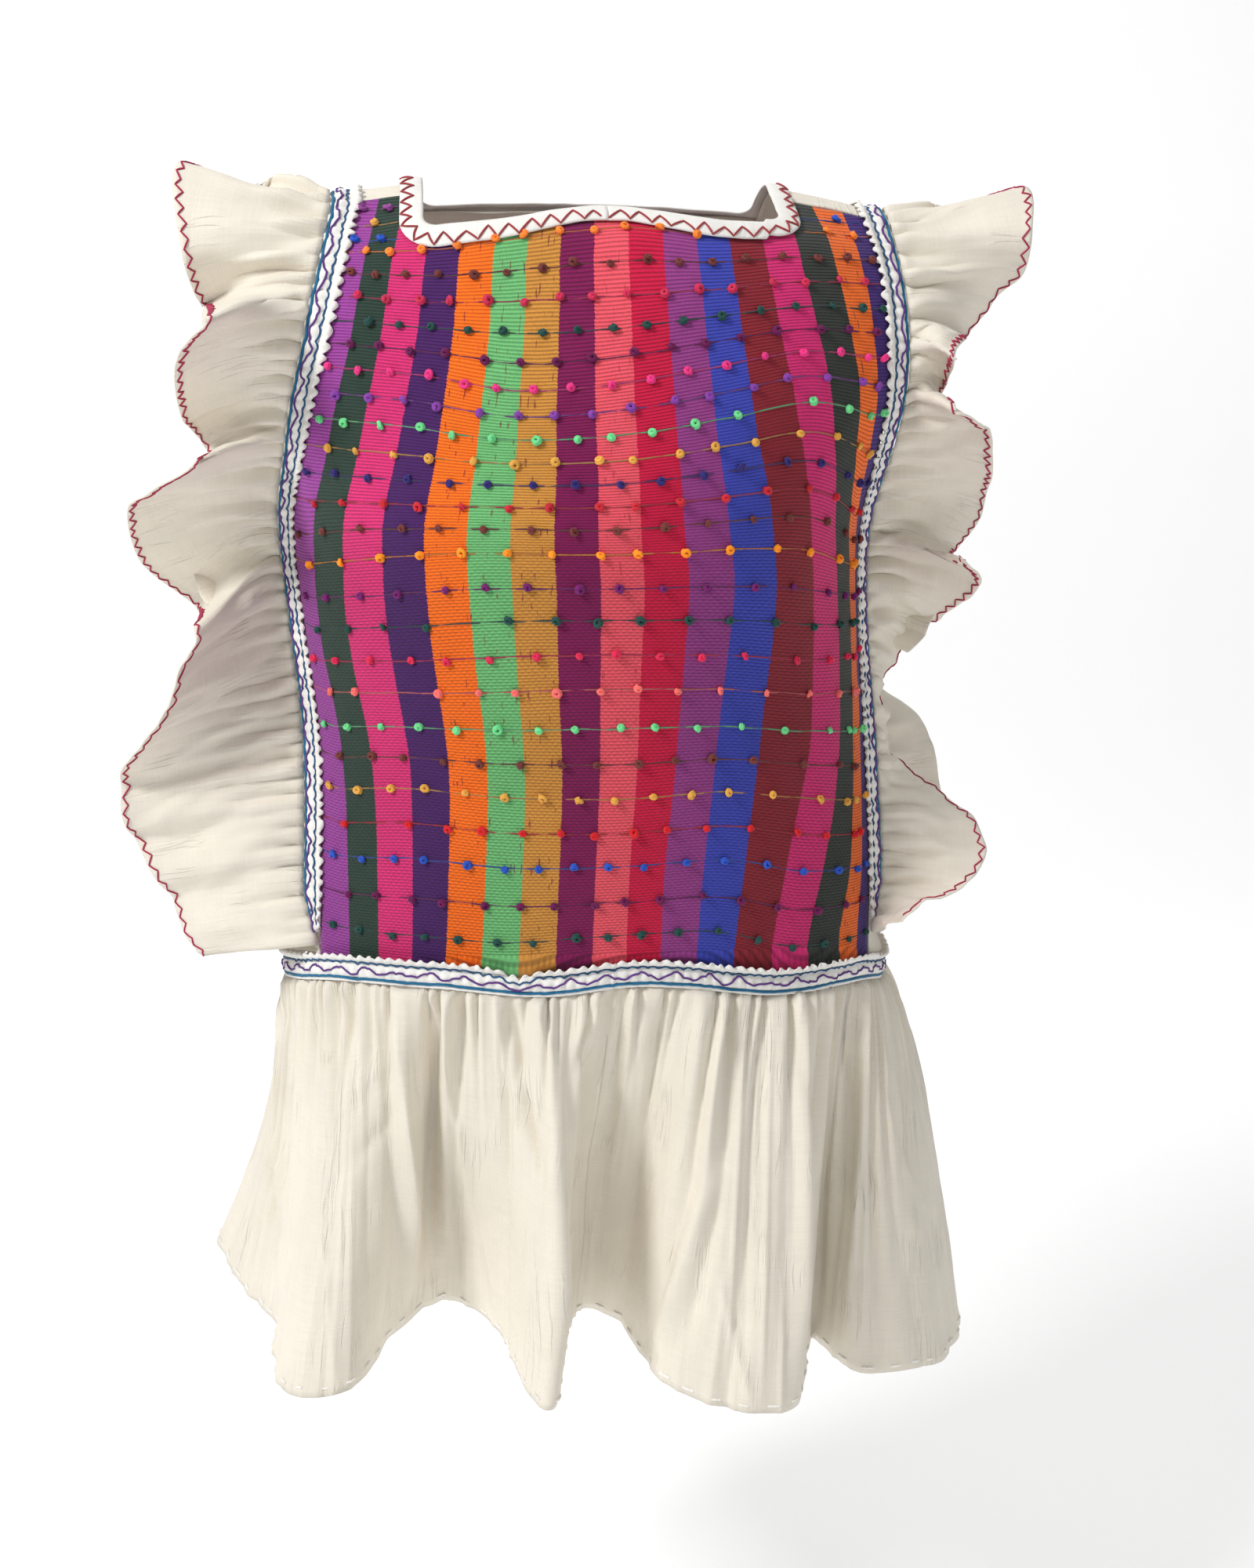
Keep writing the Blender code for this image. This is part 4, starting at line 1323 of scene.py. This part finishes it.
def build_armhole(side, word, band, threads):
    """The smocked strip round an armhole, with its frill and three lines of thread."""
    start = BAND_END + BAND_TIP
    line = Line(lambda along: band_point(side, along, 0.0), start, 1 - start)
    count = 780
    inner, outer = 0.0030, 0.0108

    @functools.cache
    def along_at(column):
        return line.station((column if side < 0 else 1 - column) * line.length)

    def spot(column, row):
        along = along_at(column)
        distance = line.distance(along)
        tip = band_width(along) / BAND_WIDTH
        loose = distance + 0.0030 * wave_noise(distance * 70, side * 5.0, 2.0)
        scallop = (0.0034 + 0.0014 * wave_noise(distance * 120, 1.0, side)) * puff(loose, PUFF_PITCH)
        low = -(0.0016 + scallop) * tip
        return along, distance, low + (band_width(along) - low) * row, tip

    def place(column, row):
        along, _, width, _ = spot(column, row)
        return band_point(side, along, width)

    def relief(column, row):
        _, distance, width, tip = spot(column, row)
        jitter = 0.0024 * wave_noise(distance * 45, width * 60, side * 3.3)
        return smocked_height(distance + jitter, width / max(tip, 0.3), (inner, outer), BAND_WIDTH, 0.0029)

    def spread(column, row):
        _, distance, width, _ = spot(column, row)
        return distance, width

    name = f"armhole_smocking_{word}"
    piece, surface = cloth(name, (count, 12), place, relief, spread, band, THIN_WALL, outward=False)
    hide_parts(f"armhole_band_{word}")

    def path_point(width_at):
        def point_at(share, distance, lift):
            along = line.station(distance)
            tip = band_width(along) / BAND_WIDTH
            low = -0.0033 * tip
            row = (width_at(distance) * tip - low) / (band_width(along) - low)
            return surface.at(share if side < 0 else 1 - share, row, lift)

        return point_at

    def wobble(distance, size, seed):
        return size * wave_noise(distance * 60, seed, side)

    stitched = (
        ("teal", lambda d: outer + 0.0005 * math.sin(d * 470) + wobble(d, 0.0008, 1.0)),
        ("blue", lambda d: inner + 0.0004 + wobble(d, 0.0010, 4.0)),
        ("purple", lambda d: 0.0072 + (0.0015 + wobble(d, 0.0014, 2.0)) * math.sin(350 * d)),
    )
    for colour, width_at in stitched:
        smocking_thread(f"armhole_{colour}_{word}", colour, line.length, path_point(width_at), threads)


def build_waistband(band, threads):
    """The smocked waistband with its frill, all round."""
    line = Line(lambda turn: waist_point(360 * turn, 0.0))
    inner, outer = 0.0042, 0.0132

    def spot(column, row):
        turn = 360 * line.station(column * line.length)
        distance = column * line.length
        loose = distance + 0.0030 * wave_noise(distance * 70, 5.0, 2.0)
        scallop = 0.0028 + 0.0012 * wave_noise(distance * 120, 1.0, 3.0)
        top = -0.0016 + scallop * (1 - puff(loose, PUFF_PITCH))
        top += WAIST_NOTCH * math.exp(-(((turn - NOTCH_TURN) / NOTCH_SPREAD) ** 2))
        return turn, distance, WAIST_BAND_HEIGHT + (top - WAIST_BAND_HEIGHT) * row

    def place(column, row):
        turn, _, below = spot(column, row)
        return waist_point(turn, below)

    def relief(column, row):
        _, distance, below = spot(column, row)
        jitter = 0.0024 * wave_noise(distance * 45, below * 60, 6.1)
        width = below - 0.0020
        return smocked_height(distance + jitter, width, (inner - 0.002, outer - 0.002), 0.0135, 0.0038)

    def spread(column, row):
        _, distance, below = spot(column, row)
        return distance, -below

    piece, surface = cloth(
        "waist_smocking", (840, 13), place, relief, spread, band, THIN_WALL, outward=False, ring=True
    )
    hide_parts("waist_band_front", "waist_band_back")

    def path_point(below_at):
        def point_at(share, distance, lift):
            row = (WAIST_BAND_HEIGHT - below_at(distance)) / WAIST_BAND_HEIGHT
            return surface.at(share, row, lift)

        return point_at

    def wobble(distance, size, seed):
        turn = 2 * math.pi * distance / line.length
        return size * wave_noise(8 * math.cos(turn), 8 * math.sin(turn), seed)

    waves = 2 * math.pi * round(line.length / 0.019) / line.length
    stitched = (
        ("teal", lambda d: outer + wobble(d, 0.0008, 1.0) + 0.0005 * wave_noise(d * 110, 3.0, 8.0)),
        ("blue", lambda d: inner + wobble(d, 0.0011, 4.0) + 0.0005 * wave_noise(d * 130, 5.0, 8.0)),
        ("purple", lambda d: 0.0086 + (0.0016 + wobble(d, 0.0022, 2.0)) * math.sin(waves * d)),
    )
    for colour, below_at in stitched:
        smocking_thread(f"waist_{colour}", colour, line.length, path_point(below_at), threads)


def build_side(side, word, gauze):
    """White cloth under the arm, between the bands, scooped at the armhole's foot."""

    @functools.cache
    def place(column, row):
        share = column if side > 0 else 1 - column
        ends = (UNDERARM_FRONT / 2 * row, 1 - UNDERARM_BACK / 2 * row)
        front, back = (band_point(side, end, band_width(end) + EDGE_GAP) for end in ends)
        point = front.lerp(back, share)
        arch = 4 * share * (1 - share)
        point.x += side * SIDE_BULGE * arch
        point.z -= UNDERARM_SCOOP * arch * row
        return waist_edge(point) if row == 0 else point

    def relief(column, row):
        fade = math.sin(math.pi * column) * math.sin(math.pi * limited(row, 0.02, 0.98))
        broad = 0.0022 * wave_noise(column * 3, row * 2.5, side * 5)
        return fade * (broad + 0.0008 * wave_noise(column * 9, row * 6, 2))

    def spread(column, row):
        point = place(column, row)
        return point.y, point.z

    piece, _ = cloth(f"underarm_{word}", (40, 56), place, relief, spread, gauze, WALL)
    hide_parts(f"side_panel_{word}")


def even_stations(rows, count, seam):
    """Stations along a hem that share its length and the seam's evenly, so that folds get their cells."""
    samples = 8 * count
    first, last = rows[0][0], rows[-1][0]
    lengths = [0.0]
    before = Vector(spline(rows, first))
    for step in range(1, samples + 1):
        point = Vector(spline(rows, first + (last - first) * step / samples))
        lengths.append(lengths[-1] + (point - before).length + seam / samples)
        before = point
    stations = []
    index = 0
    for step in range(count + 1):
        while index < samples and lengths[index] < lengths[-1] * step / count:
            index += 1
        stations.append(first + (last - first) * index / samples)
    return stations


def build_flutter(settings, side, word, hem, gauze, red):
    """A flutter sleeve gathered to the armhole band's outer edge, with a zigzagged hem."""
    hem = hem_rows(hem)
    count = 760
    stations = even_stations(hem, count, SEAM_LENGTH)
    depth = settings.gather_depth
    line = Line(lambda along: band_point(side, along, BAND_WIDTH), BAND_END, 1 - BAND_END)

    @functools.cache
    def column_facts(column):
        step = round((column if side < 0 else 1 - column) * count)
        along = BAND_END + (1 - 2 * BAND_END) * stations[step]
        reach, lift, swing = spline(hem, along)
        face, up = face_up(along)
        width = band_width(along) + 0.0004
        out = unit_out(face, beyond_edge(face, up, width), up) * (WALL + EDGE_GAP)
        foot = band_point(side, along, width) + Vector((side * out.x, out.y, out.z))
        fall = Vector((side * reach, swing, lift)).length
        return along, foot, reach, lift, swing, fall, line.distance(along)

    def place(column, row):
        along, foot, reach, lift, swing, _, _ = column_facts(column)
        point = foot + Vector((side * reach * row**0.9, swing * row**1.5, lift * row**1.3))
        turn = math.pi * along
        return point + Vector((0.0, -math.cos(turn), math.sin(turn))) * (RUFFLE_ROOT * row * (1 - row))

    seed = 7.0 * side

    def gathers(distance, row, far):
        """Small gathers at the seam, which die out towards the hem."""
        crowd = distance + 0.0050 * wave_noise(distance * 34, row * 2, seed)
        height = depth * (1.1 + 1.1 * wave_noise(distance * 25, 3.0, seed))
        height *= 2 * puff(crowd, GATHER_PITCH) - 1
        reach_in = 0.022 + 0.018 * wave_noise(distance * 40, 8.0, seed)
        return height * math.exp(-far / reach_in) * limited(0.4 + far / 0.004, 0, 1)

    def pleats(distance, row, far):
        """Wider pleats, which reach further out."""
        bend = distance + 0.009 * wave_noise(distance * 20, row * 1.6, seed + 3)
        height = 0.0058 * (0.5 + 0.9 * wave_noise(distance * 24, row * 1.5, seed + 5))
        reach_in = 0.042 + 0.03 * wave_noise(distance * 30, 1.0, seed)
        height *= 1 - 2 * puff(bend, PLEAT_PITCH)
        return height * smooth_step(0.2 + far / 0.008) * math.exp(-far / reach_in)

    def waves(distance, row, far):
        """Long soft waves along the hem."""
        sweep = distance + 0.018 * wave_noise(distance * 9, row, seed + 9)
        height = 0.0034 * (0.5 + 0.8 * wave_noise(distance * 9, row, seed + 11))
        return height * math.sin(2 * math.pi * sweep / WAVE_PITCH) * smooth_step(far / 0.05)

    def relief(column, row):
        along, _, _, _, _, fall, distance = column_facts(column)
        far = row * fall
        from_waist = min(along, 1 - along)
        folds = pleats(distance, row, far) + waves(distance, row, far)
        folds += creased(RUFFLE_CREASES, from_waist, row, SEAM_LENGTH, max(fall, 0.02))
        crinkle = 0.00035 * wave_noise(distance * 120, far * 90, seed)
        edge = 0.0004 * smooth_step((far - fall + 0.004) / 0.001)
        return gathers(distance, row, far) + folds * smooth_step(fall / 0.03) + crinkle + edge

    def spread(column, row):
        *_, fall, distance = column_facts(column)
        return distance * RUFFLE_FULLNESS, row * fall

    name = f"flutter_{word}"
    piece, surface = cloth(name, (count, 30), place, relief, spread, gauze, THIN_WALL)
    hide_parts(f"ruffle_{word}")
    edge = Line(lambda station: surface.at(station, 0.985))
    path = zigzag(surface, edge, 0.0092, (0.0012, 0.0046), 1, 20 + side, 0.0002)
    stitch = thread(f"flutter_zigzag_{word}", [path], RUFFLE_ZIGZAG_RADIUS, red)


def build_peplum(settings, gauze):
    """The gathered peplum all round, with its running-stitched hem."""
    hem = closed_hem()
    count = 900
    circuit = even_turns(hem, count)
    depth = settings.gather_depth

    @functools.cache
    def column_facts(column):
        turn = circuit[round(column * count)]
        top = waist_point(turn, WAIST_BAND_HEIGHT + EDGE_GAP)
        end = Vector(spline(hem, turn % 360))
        return turn, top, end, (end - top).length

    def place(column, row):
        turn, top, end, _ = column_facts(column)
        down = 1 - row
        opened = down ** (FOLD_OPENING - FOLD_LEAN * math.sin(math.radians(turn)))
        return Vector((*top.xy.lerp(end.xy, opened), top.z + (end.z - top.z) * down))

    def ring_noise(turn, size, down, seed):
        angle = math.radians(turn)
        return wave_noise(size * math.cos(angle), size * math.sin(angle), down + seed)

    def gathers(turn, down):
        """Small gathers under the waistband."""
        crowd = turn / 360 * PEPLUM_GATHERS + 1.5 * ring_noise(turn, 10, down * 1.2, 1.0)
        height = depth * 1.7 * (0.85 + 0.9 * ring_noise(turn, 11, down, 5.0))
        reach = 0.17 + 0.10 * ring_noise(turn, 16, 2.0, 3.0)
        height *= 2 * abs(math.sin(math.pi * crowd)) ** 0.8 - 1
        return height * math.exp(-down / reach) * limited(0.5 + down / 0.03, 0, 1)

    def pleats(turn, down):
        """Wider pleats, which open towards the hem."""
        bend = turn / 360 * PEPLUM_PLEATS + 1.7 * ring_noise(turn, 5, down * 0.6, 9.0)
        height = 0.0056 * (0.5 + 0.9 * ring_noise(turn, 7, down * 1.2, 13.0))
        height *= 2 * abs(math.sin(math.pi * bend)) - 1.2
        return height * smooth_step(0.25 + down / 0.15) * (1 - 0.62 * down)

    def pressed(turn, down):
        """Thin pressed lines, here and there."""
        line = (turn / 360 * PRESSED_LINES + 2.6 * ring_noise(turn, 6, down * 0.5, 17.0)) % 1
        shown = smooth_step(0.5 + 1.6 * ring_noise(turn, 12, down * 1.4, 21.0))
        return 0.0013 * math.exp(-(((line - 0.5) / 0.16) ** 2)) * shown

    def relief(column, row):
        turn, _, _, fall = column_facts(column)
        down = 1 - row
        folds = gathers(turn, down) + pleats(turn, down) + pressed(turn, down)
        crinkle = 0.00035 * ring_noise(turn, 26, down * 16, 25.0)
        marks = creased(PEPLUM_CREASES, turn, down, *PEPLUM_FLAT)
        edge = 0.0004 * smooth_step((down * fall - fall + 0.007) / 0.001)
        return folds + crinkle + marks + edge

    def spread(column, row):
        turn, _, _, fall = column_facts(column)
        return turn / 360 * PEPLUM_ROUND, row * fall

    piece, surface = cloth(
        "peplum_cloth", (count, 54), place, relief, spread, gauze, THIN_WALL, outward=False, ring=True
    )
    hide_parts("peplum_front", "peplum_back")
    line = Line(lambda station: surface.at(station, 0.02), samples=2000)
    draw = random.Random(5)
    dashes = []
    for step in range(int(line.length / HEM_STITCH_PITCH)):
        start = step * HEM_STITCH_PITCH + draw.uniform(-0.0015, 0.0015)
        length = HEM_STITCH_LENGTH * draw.uniform(0.8, 1.2)
        height = HEM_DEPTH * draw.uniform(0.85, 1.15)
        path = []
        for part in range(6):
            column = line.station(start + length * part / 5)
            lift = 0.0001 + 0.0003 * math.sin(math.pi * part / 5)
            path.append(surface.at(column, surface.inward(column, height, 0), lift))
        dashes.append(path)
    white = thread_material("White thread", (0.86, 0.84, 0.80))
    stitch = thread("peplum_stitches", dashes, HEM_STITCH_RADIUS, white)


def even_turns(hem, count):
    """Turns round the waist that share the hem's length and the waist's evenly."""

    def between(turn):
        return Vector(spline(hem, turn)) * 0.5 + waist_point(turn, 0) * 1.2

    line = Line(between, 0, 360, 8 * count)
    return [line.station(line.length * step / count) for step in range(count + 1)]


def up_at(across, height):
    """How far up the front panel this height lies at this place across."""
    low, high = 0.0, 1.0
    for _ in range(22):
        middle = (low + high) / 2
        if panel_point("front", across, middle).z < height:
            low = middle
        else:
            high = middle
    return (low + high) / 2


def front_place(stripe, weft):
    """Where a place of the striped cloth lies on the panel: across and up."""
    across = limited(2 * stripe / len(STRIPES) - 1, -1, 1)
    height = weft
    for _ in range(4):
        across = limited(2 * stripe / len(STRIPES) - 1 + lean_at(across, height), -1, 1)
        height = weft + sag_at(across, height)
    return across, up_at(across, height)


def front_surface(stripe, weft, lift):
    """A point off the outer face of the striped front, and the directions out and across there."""
    across, up = front_place(stripe, weft)
    out = unit_out("front", across, up)
    point = panel_point("front", across, up) + out * (WALL + panel_relief("front", across, up) + lift)
    return worn(point), out, across, up


def in_neck(across, up, margin):
    """Whether this place of the front lies in the neck opening or under its band."""
    x = panel_point("front", across, up).x
    if abs(x - NECK_SHIFT) > NECK_HALF_WIDTH + margin:
        return False
    return up > neck_up("front", limited(x, -0.1, 0.1)) - margin / 0.47


def knot_path(point, out, size, draw):
    """The coil of thread that makes one knot, tilted at random on the cloth."""
    side = out.cross(Vector((0, 0, 1))).normalized()
    rise = side.cross(out).normalized()
    tilt = math.radians(draw.uniform(0, 55))
    turn = draw.uniform(0, 2 * math.pi)
    lean = (side * math.cos(turn) + rise * math.sin(turn)) * math.sin(tilt)
    axis = (out * math.cos(tilt) + lean).normalized()
    first = axis.cross(Vector((0.3, 0.2, 0.9))).normalized()
    second = axis.cross(first)
    radius = size * 0.27 * draw.uniform(0.85, 1.15)
    turns = draw.uniform(1.35, 1.8)
    squash = draw.uniform(0.75, 1.0)
    centre = point + out * size * 0.20
    path = []
    for step in range(15):
        share = step / 14
        angle = turn + 2 * math.pi * turns * share
        spiral = radius * (1.0 - 0.35 * share)
        path.append(
            centre
            + first * math.cos(angle) * spiral
            + second * math.sin(angle) * spiral * squash
            + axis * size * 0.20 * (share - 0.3)
        )
    return path


def build_knots(settings):
    """Rows of small thread knots along the striped front, each row with the thread that carries it."""
    size = settings.knot_size
    for index, (weft, on_middles, colour) in enumerate(KNOT_ROWS):
        draw = random.Random(100 + index)
        bright = thread_material(f"Knot thread {index + 1:02d}", linear(colour))
        faded = linear([0.55 * part + 0.45 * other for part, other in zip(colour, (70, 55, 65))])
        dull = thread_material(f"Carrying thread {index + 1:02d}", faded)
        knots, runs = [], [[]]
        places = [stripe + (0.5 if on_middles else 0.0) for stripe in range(len(STRIPES) + 1)]
        for stripe in places:
            stripe += draw.uniform(-0.10, 0.10)
            height = weft + draw.uniform(-0.0010, 0.0010)
            if not KNOT_MARGIN < stripe < len(STRIPES) - KNOT_MARGIN or draw.random() < MISSING_KNOTS:
                continue
            point, out, across, up = front_surface(stripe, height, 0.0)
            if in_neck(across, up, NECK_BAND_WIDTH + 0.002) or up > KNOT_TOP:
                continue
            knots.append(knot_path(point, out, size * draw.uniform(0.85, 1.2), draw))
        steps = 220
        for step in range(steps + 1):
            stripe = CARRIER_MARGIN + (len(STRIPES) - 2 * CARRIER_MARGIN) * step / steps
            gap = abs((stripe + (0.5 if on_middles else 0.0)) % 1 - 0.5)
            lift = 0.00012 + 0.0004 * wave_noise(stripe * 2.3, index * 3.7, 2.0) - 0.0003 * (gap < 0.2)
            drift = 0.0005 * wave_noise(stripe * 1.4, index * 5.1, 7.0)
            point, out, across, up = front_surface(stripe, weft + drift, lift)
            if in_neck(across, up, NECK_BAND_WIDTH) or up > KNOT_TOP:
                if runs[-1]:
                    runs.append([])
                continue
            runs[-1].append(point)
        runs = [run for run in runs if len(run) > 2]
        carrier = thread(f"knot_carrier_{index + 1:02d}", runs, CARRIER_RADIUS, dull, 0)
        row = thread(f"knots_{index + 1:02d}", knots, size * 0.175, bright, 1)


def hang_light(name, place, size, power):
    """A square soft light, aimed at the blouse."""
    light = bpy.data.lights.new(name, "AREA")
    light.size = size
    light.energy = power
    lamp = bpy.data.objects.new(name, light)
    lamp.location = place
    aim = Vector((0.0, 0.0, -0.30)) - Vector(place)
    lamp.rotation_euler = aim.to_track_quat("-Z", "Y").to_euler()
    bpy.context.scene.collection.objects.link(lamp)


def build_stage():
    """The pale floor that curves up behind, soft studio lights and the camera."""
    shape = bmesh.new()
    bmesh.ops.create_grid(shape, x_segments=8, y_segments=60, size=0.5)
    floor, radius, front, back, length, width = -1.05, 1.1, 3.4, 1.6, 11.0, 9.0
    flat = front + back
    for vert in shape.verts:
        run = (vert.co.y + 0.5) * length
        if run < flat:
            y, z = run - front, floor
        elif run < flat + radius * math.pi / 2:
            angle = (run - flat) / radius
            y, z = back + radius * math.sin(angle), floor + radius * (1 - math.cos(angle))
        else:
            y, z = back + radius, floor + radius + run - flat - radius * math.pi / 2
        vert.co = Vector((vert.co.x * width, y, z))
    mesh = bpy.data.meshes.new("backdrop")
    shape.to_mesh(mesh)
    shape.free()
    mesh.shade_smooth()
    backdrop = bpy.data.objects.new("backdrop", mesh)
    bpy.context.scene.collection.objects.link(backdrop)
    mesh.materials.append(floor_material())
    backdrop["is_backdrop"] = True
    light_stage()
    place_camera()


def light_stage():
    """A key light from the viewer's left, a weak fill, a top light and a pale surrounding."""
    hang_light("key_light", (-2.1, -1.3, 1.7), size=0.7, power=70)
    hang_light("fill_light", (1.6, -2.2, 0.4), size=2.0, power=7)
    hang_light("top_light", (0.1, -0.3, 2.3), size=1.2, power=11)
    world = bpy.data.worlds.new("Studio")
    world.use_nodes = True
    around = world.node_tree.nodes["Background"].inputs
    around["Color"].default_value = (1.0, 1.0, 1.0, 1.0)
    around["Strength"].default_value = 0.36
    bpy.context.scene.world = world
    bpy.context.scene.view_settings.view_transform = "Standard"


def place_camera():
    """The camera, a metre off, a little to the left and above, and a little tilted."""
    turn, pitch, roll = (math.radians(angle) for angle in (8.0, 16.0, 1.5))
    aside, lowered = 0.0225, 0.0453
    ahead = Vector((math.sin(turn) * math.cos(pitch), math.cos(turn) * math.cos(pitch), -math.sin(pitch)))
    right = Vector((math.cos(turn), -math.sin(turn), 0.0))
    above = right.cross(ahead)
    place = -Vector((math.sin(turn), math.cos(turn), 0.0)) + aside * right + Vector((0.0, 0.0, -lowered))
    across = right * math.cos(roll) + above * math.sin(roll)
    upward = above * math.cos(roll) - right * math.sin(roll)
    lens = bpy.data.cameras.new("camera")
    lens.lens = 40.66
    lens.sensor_fit = "VERTICAL"
    lens.sensor_height = 36.0
    camera = bpy.data.objects.new("camera", lens)
    axes = Matrix((across, upward, -ahead)).transposed().to_4x4()
    camera.matrix_world = Matrix.Translation(place) @ axes
    bpy.context.scene.collection.objects.link(camera)
    bpy.context.scene.camera = camera


@functools.cache
def gauze_cloth():
    """The white gauze, made once."""
    return gauze_material("White gauze", tuple(bpy.context.scene.blouse.gauze))


@functools.cache
def band_cloth():
    """The bands' finer, closer cotton, made once."""
    colour = tuple(bpy.context.scene.blouse.smocking)
    return gauze_material("Band cotton", colour, 0.0005, 0.10, 0.8, 0.0003, 0.0002)


@functools.cache
def smocking_threads():
    """The three threads of the smocking, made once."""
    settings = bpy.context.scene.blouse
    colours = {"teal": settings.cord, "blue": settings.line, "purple": settings.wave}
    threads = {}
    for name, colour in colours.items():
        threads[name] = thread_material(f"{name.capitalize()} thread", tuple(colour))
    return threads


SIDES = ((-1, "left"), (1, "right"))


class BLOUSE_OT_front(bpy.types.Operator):
    """Build the striped front panel"""

    bl_idname = "blouse.front"
    bl_label = "Striped front"

    def execute(self, context):
        build_front(context.scene.blouse)
        return {"FINISHED"}


class BLOUSE_OT_back(bpy.types.Operator):
    """Build the plain white back panel"""

    bl_idname = "blouse.back"
    bl_label = "White back"

    def execute(self, context):
        build_back(gauze_cloth())
        return {"FINISHED"}


class BLOUSE_OT_neck(bpy.types.Operator):
    """Build the neck band and its zigzag"""

    bl_idname = "blouse.neck"
    bl_label = "Neck band"

    def execute(self, context):
        build_neck(context.scene.blouse, band_cloth())
        return {"FINISHED"}


class BLOUSE_OT_armholes(bpy.types.Operator):
    """Build the smocked armhole bands with their threads"""

    bl_idname = "blouse.armholes"
    bl_label = "Armhole bands"

    def execute(self, context):
        for side, word in SIDES:
            build_armhole(side, word, band_cloth(), smocking_threads())
        return {"FINISHED"}


class BLOUSE_OT_sides(bpy.types.Operator):
    """Build the white side panels under the arms"""

    bl_idname = "blouse.sides"
    bl_label = "Side panels"

    def execute(self, context):
        for side, word in SIDES:
            build_side(side, word, gauze_cloth())
        return {"FINISHED"}


class BLOUSE_OT_flutters(bpy.types.Operator):
    """Build the flutter ruffles with their zigzagged hems"""

    bl_idname = "blouse.flutters"
    bl_label = "Ruffles"

    def execute(self, context):
        settings = context.scene.blouse
        red = thread_material("Crimson thread", tuple(settings.zigzag))
        for (side, word), hem in zip(SIDES, (LEFT_HEM, RIGHT_HEM)):
            build_flutter(settings, side, word, hem, gauze_cloth(), red)
        return {"FINISHED"}


class BLOUSE_OT_waistband(bpy.types.Operator):
    """Build the smocked waistband with its threads"""

    bl_idname = "blouse.waistband"
    bl_label = "Waistband"

    def execute(self, context):
        build_waistband(band_cloth(), smocking_threads())
        return {"FINISHED"}


class BLOUSE_OT_peplum(bpy.types.Operator):
    """Build the gathered peplum with its running stitch"""

    bl_idname = "blouse.peplum"
    bl_label = "Peplum"

    def execute(self, context):
        build_peplum(context.scene.blouse, gauze_cloth())
        return {"FINISHED"}


class BLOUSE_OT_knots(bpy.types.Operator):
    """Build the rows of knots on the striped front"""

    bl_idname = "blouse.knots"
    bl_label = "Knot rows"

    def execute(self, context):
        build_knots(context.scene.blouse)
        return {"FINISHED"}


class BLOUSE_OT_stage(bpy.types.Operator):
    """Build the floor, the lights and the camera"""

    bl_idname = "blouse.stage"
    bl_label = "Stage"

    def execute(self, context):
        build_stage()
        return {"FINISHED"}


OPERATORS = (
    BLOUSE_OT_stage,
    BLOUSE_OT_front,
    BLOUSE_OT_back,
    BLOUSE_OT_neck,
    BLOUSE_OT_armholes,
    BLOUSE_OT_sides,
    BLOUSE_OT_flutters,
    BLOUSE_OT_waistband,
    BLOUSE_OT_peplum,
    BLOUSE_OT_knots,
)


class BLOUSE_PT_panel(bpy.types.Panel):
    """Lists the blouse's sizes, colours and building steps"""

    bl_label = "Ruffled blouse"
    bl_idname = "BLOUSE_PT_panel"
    bl_space_type = "VIEW_3D"
    bl_region_type = "UI"
    bl_category = "Blouse"

    def draw(self, context):
        settings = context.scene.blouse
        for name in BlouseSettings.__annotations__:
            self.layout.prop(settings, name)
        for operator in OPERATORS:
            self.layout.operator(operator.bl_idname)


CLASSES = (BlouseSettings, *OPERATORS, BLOUSE_PT_panel)


def register():
    """Adds the settings, the steps and the panel."""
    for made in CLASSES:
        bpy.utils.register_class(made)
    bpy.types.Scene.blouse = bpy.props.PointerProperty(type=BlouseSettings)


def unregister():
    """Takes them away again."""
    del bpy.types.Scene.blouse
    for made in reversed(CLASSES):
        bpy.utils.unregister_class(made)


def main():
    """Builds the stage and every piece."""
    register()
    bpy.ops.blouse.stage()
    bpy.ops.blouse.front()
    bpy.ops.blouse.back()
    bpy.ops.blouse.neck()
    bpy.ops.blouse.armholes()
    bpy.ops.blouse.sides()
    bpy.ops.blouse.flutters()
    bpy.ops.blouse.waistband()
    bpy.ops.blouse.peplum()
    bpy.ops.blouse.knots()
    boxes = {"cad": CAD_BOX, "visual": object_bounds()}
    {name: [list(corner) for corner in box] for name, box in boxes.items()}


if __name__ == "__main__":
    main()
